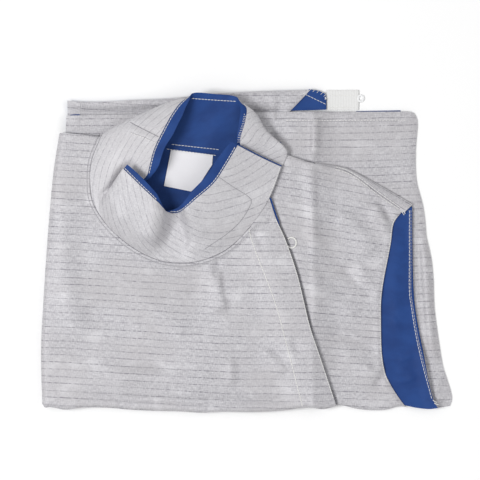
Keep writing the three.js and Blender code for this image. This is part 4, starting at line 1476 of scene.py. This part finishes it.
def stitch_points(line, stitch, gap, radius, lean):
    """Rings of the beads of one row, as an array of bead, ring, side and place."""
    places, ups = dropped(line)
    at = lengths_along(places)
    starts = np.arange(gap / 2, at[-1] - stitch, stitch + gap)
    starts = starts + rng.uniform(-0.15, 0.15, len(starts)) * gap

    def along(values, where):
        return np.stack([np.interp(where, at, values[:, k]) for k in range(3)], 1)

    first, last = along(places, starts), along(places, starts + stitch)
    up = unit(along(ups, starts + stitch / 2))
    half = (last - first) / 2
    side = np.cross(up, half)
    turn = np.radians(lean + rng.uniform(-5, 5, len(starts)))[:, None]
    half = half * np.cos(turn) + side * np.sin(turn)
    side = unit(np.cross(up, half))
    angles = np.arange(BEAD_SIDES) / BEAD_SIDES * math.tau
    around = np.cos(angles)[:, None, None] * side + np.sin(angles)[:, None, None] * up
    centre = (first + last) / 2 + up * radius * 0.45
    rings = centre[:, None] + half[:, None] * BEAD_ALONG[None, :, None]
    rings = rings - up[:, None] * radius * 0.9 * (BEAD_ALONG**4)[None, :, None]
    thick = radius * BEAD_THICK[None, :, None, None]
    return rings[:, :, None] + thick * np.moveaxis(around, 0, 1)[:, None]


def sew(name, rows, stitch=2.9, gap=0.28, radius=0.35, lean=0.0, thread=THREAD):
    """One object with the stitches of several rows."""
    beads = np.vstack([stitch_points(row, stitch, gap, radius, lean) for row in rows])
    count, rings, sides = beads.shape[:3]
    faces = []
    for bead in range(count):
        faces += ring_faces(rings, sides, start=bead * rings * sides)
    lengths = BEAD_ALONG[None, :, None] * stitch / 2 + np.arange(count)[:, None, None] * 5.0
    around = np.arange(sides)[None, None, :] * radius
    marks = np.stack(np.broadcast_arrays(lengths, around), 3).reshape(-1, 2)
    small_piece(make_object(name, beads.reshape(-1, 3), faces, marks, [thread], 0))
    print(f"{name}: {count} stitches")


def painted_seam_shade(name, line, radius=0.3, shade=SEAM_SHADE_PAINT):
    """Painted shade: a thin dark cord half sunk in the cloth, for the shade in the groove where two
    pieces meet or a row pulls it in.
    """
    places, ups = dropped(soft(line, 6) if len(line) > 2 else line, 1.0)
    small_piece(tube(name, places - ups * SHADE_CORD_SINK, radius, shade, 6))


def beside(line, off):
    """A line moved sideways in plan, to the right of the way it runs."""
    line = np.asarray(line, float)
    ahead = unit(np.gradient(line, axis=0))
    return line + off * np.stack([ahead[:, 1], -ahead[:, 0]], 1)


def past_edge(first, last, beyond):
    """A line on the collar between two rows, some way past its silver edge."""
    rows = slice(round(first * PER_ROW), round(last * PER_ROW) + 1)
    return (EDGE[rows] + ONWARD[rows] * beyond)[:, :2]


# %% Rows on the collar
sew("collar_band_stitches", [
    past_edge(0.15, 4.8, 1.3), past_edge(6.9, 10.0, 1.3), past_edge(13.3, 18.8, 1.3),
])
sew("back_collar_stitches", [
    [(-55, 151), (-9, 148)], [(-75.4, 105.6), (-25.6, 100)], [(-80.5, 101), (-31, 94.5)],
])
SIDE_SEAM = [(-116, 127), (-102, 119.5), (-88, 112.5)]
painted_seam_shade("side_painted_seam_shade", SIDE_SEAM)
SIDE_ROW = [(-116, 116.5), (-103, 111.8), (-90, 106)]
painted_seam_shade("side_painted_stitch_shade", [(x, y + 0.5) for x, y in SIDE_ROW], 0.24, STITCH_SHADE_PAINT)
sew("side_seam_stitches", [soft(SIDE_ROW)], radius=0.3)
painted_seam_shade("leaf_painted_shade", [(-167, 147), (-167.4, 138)], 0.2, STITCH_SHADE_PAINT)
painted_seam_shade("strip_painted_shade", [(-167.4, 134), (-168, 120)], 0.2, STITCH_SHADE_PAINT)
BOX_ROW = [
    (-29, 73), (-14, 63), (1, 53.5), (4.6, 49), (2, 42), (-7, 28), (-20, 16), (-33, 7), (-42, 1),
]
painted_seam_shade("box_painted_stitch_shade", BOX_ROW, 0.24)
sew("box_stitches", [beside(soft(BOX_ROW), 0.8)], radius=0.24, thread=GREY_THREAD)
neck_run = neck_line[4:]
painted_seam_shade("neck_painted_seam_shade", beside(neck_run, -0.9)[::4])
painted_seam_shade("neck_painted_stitch_shade", beside(neck_run, -3.6)[::4], 0.26, STITCH_SHADE_PAINT)
sew("neck_seam_stitches", [beside(neck_run, -4.2)], radius=0.3, thread=GREY_THREAD)

# %% Rows on the fronts
placket_run = soft([*PLACKET_ROW[:-1], (55.5, -157)], 6)
sew("placket_stitches", [placket_run], stitch=3.6, gap=0.2, radius=0.5)
edge_run = beside(part_of(overlap_line, -156, 33), 0.4)
sew("overlap_edge_stitches", [edge_run], stitch=1.5, gap=0.2, radius=0.42, lean=24.0)
flap_points, flap_out = collar_surface(OUTER_HEIGHTS)
flap_end = (flap_points + flap_out * OUTER_OFF)[0] + (0.5, 0.7, 0.0)
small_piece(tube("flap_end_lining", flap_end, 0.6, BLUE, 8))
flap_foot = soft([(34, 82.5), (28, 66), (22.5, 53)]) - (0.8, -0.3)
sew("flap_edge_stitches", [flap_foot], stitch=2.2, gap=0.4, radius=0.3)

# %% Rows at the shoulder and the armhole
SHOULDER_ROW = [(88.4, 82), (97, 80), (110, 73.2), (131, 57), (153, 41.5)]
painted_seam_shade("shoulder_painted_seam_shade", SHOULDER_ROW)
sew("shoulder_stitches", [beside(soft(SHOULDER_ROW), off) for off in (1.4, -1.2)], radius=0.28)
ARMHOLE_ROW = [
    (162.8, 40), (162.8, 0), (163, -46), (164, -52), (168.3, -80), (175, -112), (185, -149),
]
armhole_run = soft(ARMHOLE_ROW)
sew("armhole_stitches", [armhole_run], stitch=3.4, gap=0.22, radius=0.31)
sew("armhole_second_stitches", [beside(armhole_run, -1.5)], radius=0.26, thread=GREY_THREAD)
front_hole = beside(soft(ARMHOLE_FRONT, 6)[3:-10], 0.7)
sew("front_armhole_stitches", [front_hole], stitch=2.2, gap=0.3, radius=0.34)

# %% Rows on the hem and the small pieces
hem_row = hem_line - (0.0, HEM_DEPTH)
right_hem, left_hem = part_of(hem_row, 29, 166, 0), part_of(hem_row, -179, -146, 0)
painted_seam_shade("hem_painted_shade", (right_hem - (0.0, 0.8))[::2], 0.22)
sew("hem_stitches", [right_hem, left_hem], stitch=2.4, gap=0.7, radius=0.29)
tack = [[(27.6 + k * 0.6, 130), (27.6 + k * 0.6, 137.6)] for k in range(4)]
sew("bar_tack", tack, stitch=1.6, gap=0.3, radius=0.26, thread=GREY_THREAD)
left_shoulder = soft([(-188, 115.5), (-165, 114.6), (-146, 111.5)])
sew("left_shoulder_stitches", [left_shoulder], radius=0.26, thread=GREY_THREAD)
corner_row = [(56, 157.2), (79, 146.2)]
sew("turned_corner_stitches", [corner_row], stitch=3.1, gap=0.25, radius=0.3)
sew("label_stitches", [[(-74.5, 98.6), (-36, 94)]], stitch=1.8, gap=0.8, radius=0.22)
strap_rows = [[(82, y), (110, y)] for y in (155.2, 143.2)]
sew("strap_stitches", strap_rows, stitch=2.2, gap=0.7, radius=0.28)

# %% [markdown]
# ## Wear
# The cut edges are a little frayed. Each loose end is a thin bent thread that starts on the cloth
# and lifts off it, and the worn edge of the collar has lost short bits of its white stitching.

# %% Loose ends
def loose_ends(name, starts, reach, lift, radius=0.22):
    """One object of short curled threads, each heading roughly along `reach` from its start."""
    points, faces, marks = [], [], []
    share = np.linspace(0, 1, 9)[:, None]
    for x, y in starts:
        (base, *_), _ = dropped([(x, y), (x + 0.5, y)])
        ahead = np.array([*reach, 0.0]) * rng.uniform(0.7, 1.2)
        aside = np.array([-reach[1], reach[0], 0.0]) * rng.uniform(-0.6, 0.6)
        path = base + ahead * share + aside * share**2 + (0, 0, lift) * np.sin(share * 2.6)
        cord, quads, places = tube_parts(path, radius, 6)
        count = sum(len(p) for p in points)
        faces += [tuple(i + count for i in quad) for quad in quads]
        points.append(cord)
        marks.append(places)
    made = make_object(name, np.vstack(points), faces, np.vstack(marks), [THREAD], 0)
    small_piece(made)
    print(f"{name}: {len(starts)} loose ends")


FRAYED_AT = [(62, 159.5), (66, 158.6), (70, 157.5), (74, 156), (77, 154), (78, 151)]
loose_ends("frayed_hem", FRAYED_AT, (1.8, 1.6), 0.5)
loose_ends("strap_end", [(79.6, 151.5), (79.8, 152.6)], (-2.2, 1.6), 0.5, 0.5)
loose_ends("armhole_end", [(153.5, 39), (155.5, 37.5), (156.5, 39.5)], (2.4, -2.2), 0.8, 0.34)
loose_ends("armhole_low_end", [(186, -150), (187.5, -153)], (3.0, -3.6), 0.6, 0.34)
WORN_ROWS = [past_edge(22.6, 24.3, 0.8), past_edge(22.5, 24.2, 2.0)]
sew("worn_collar_edge", WORN_ROWS, stitch=1.1, gap=1.3, radius=0.34, lean=40.0)
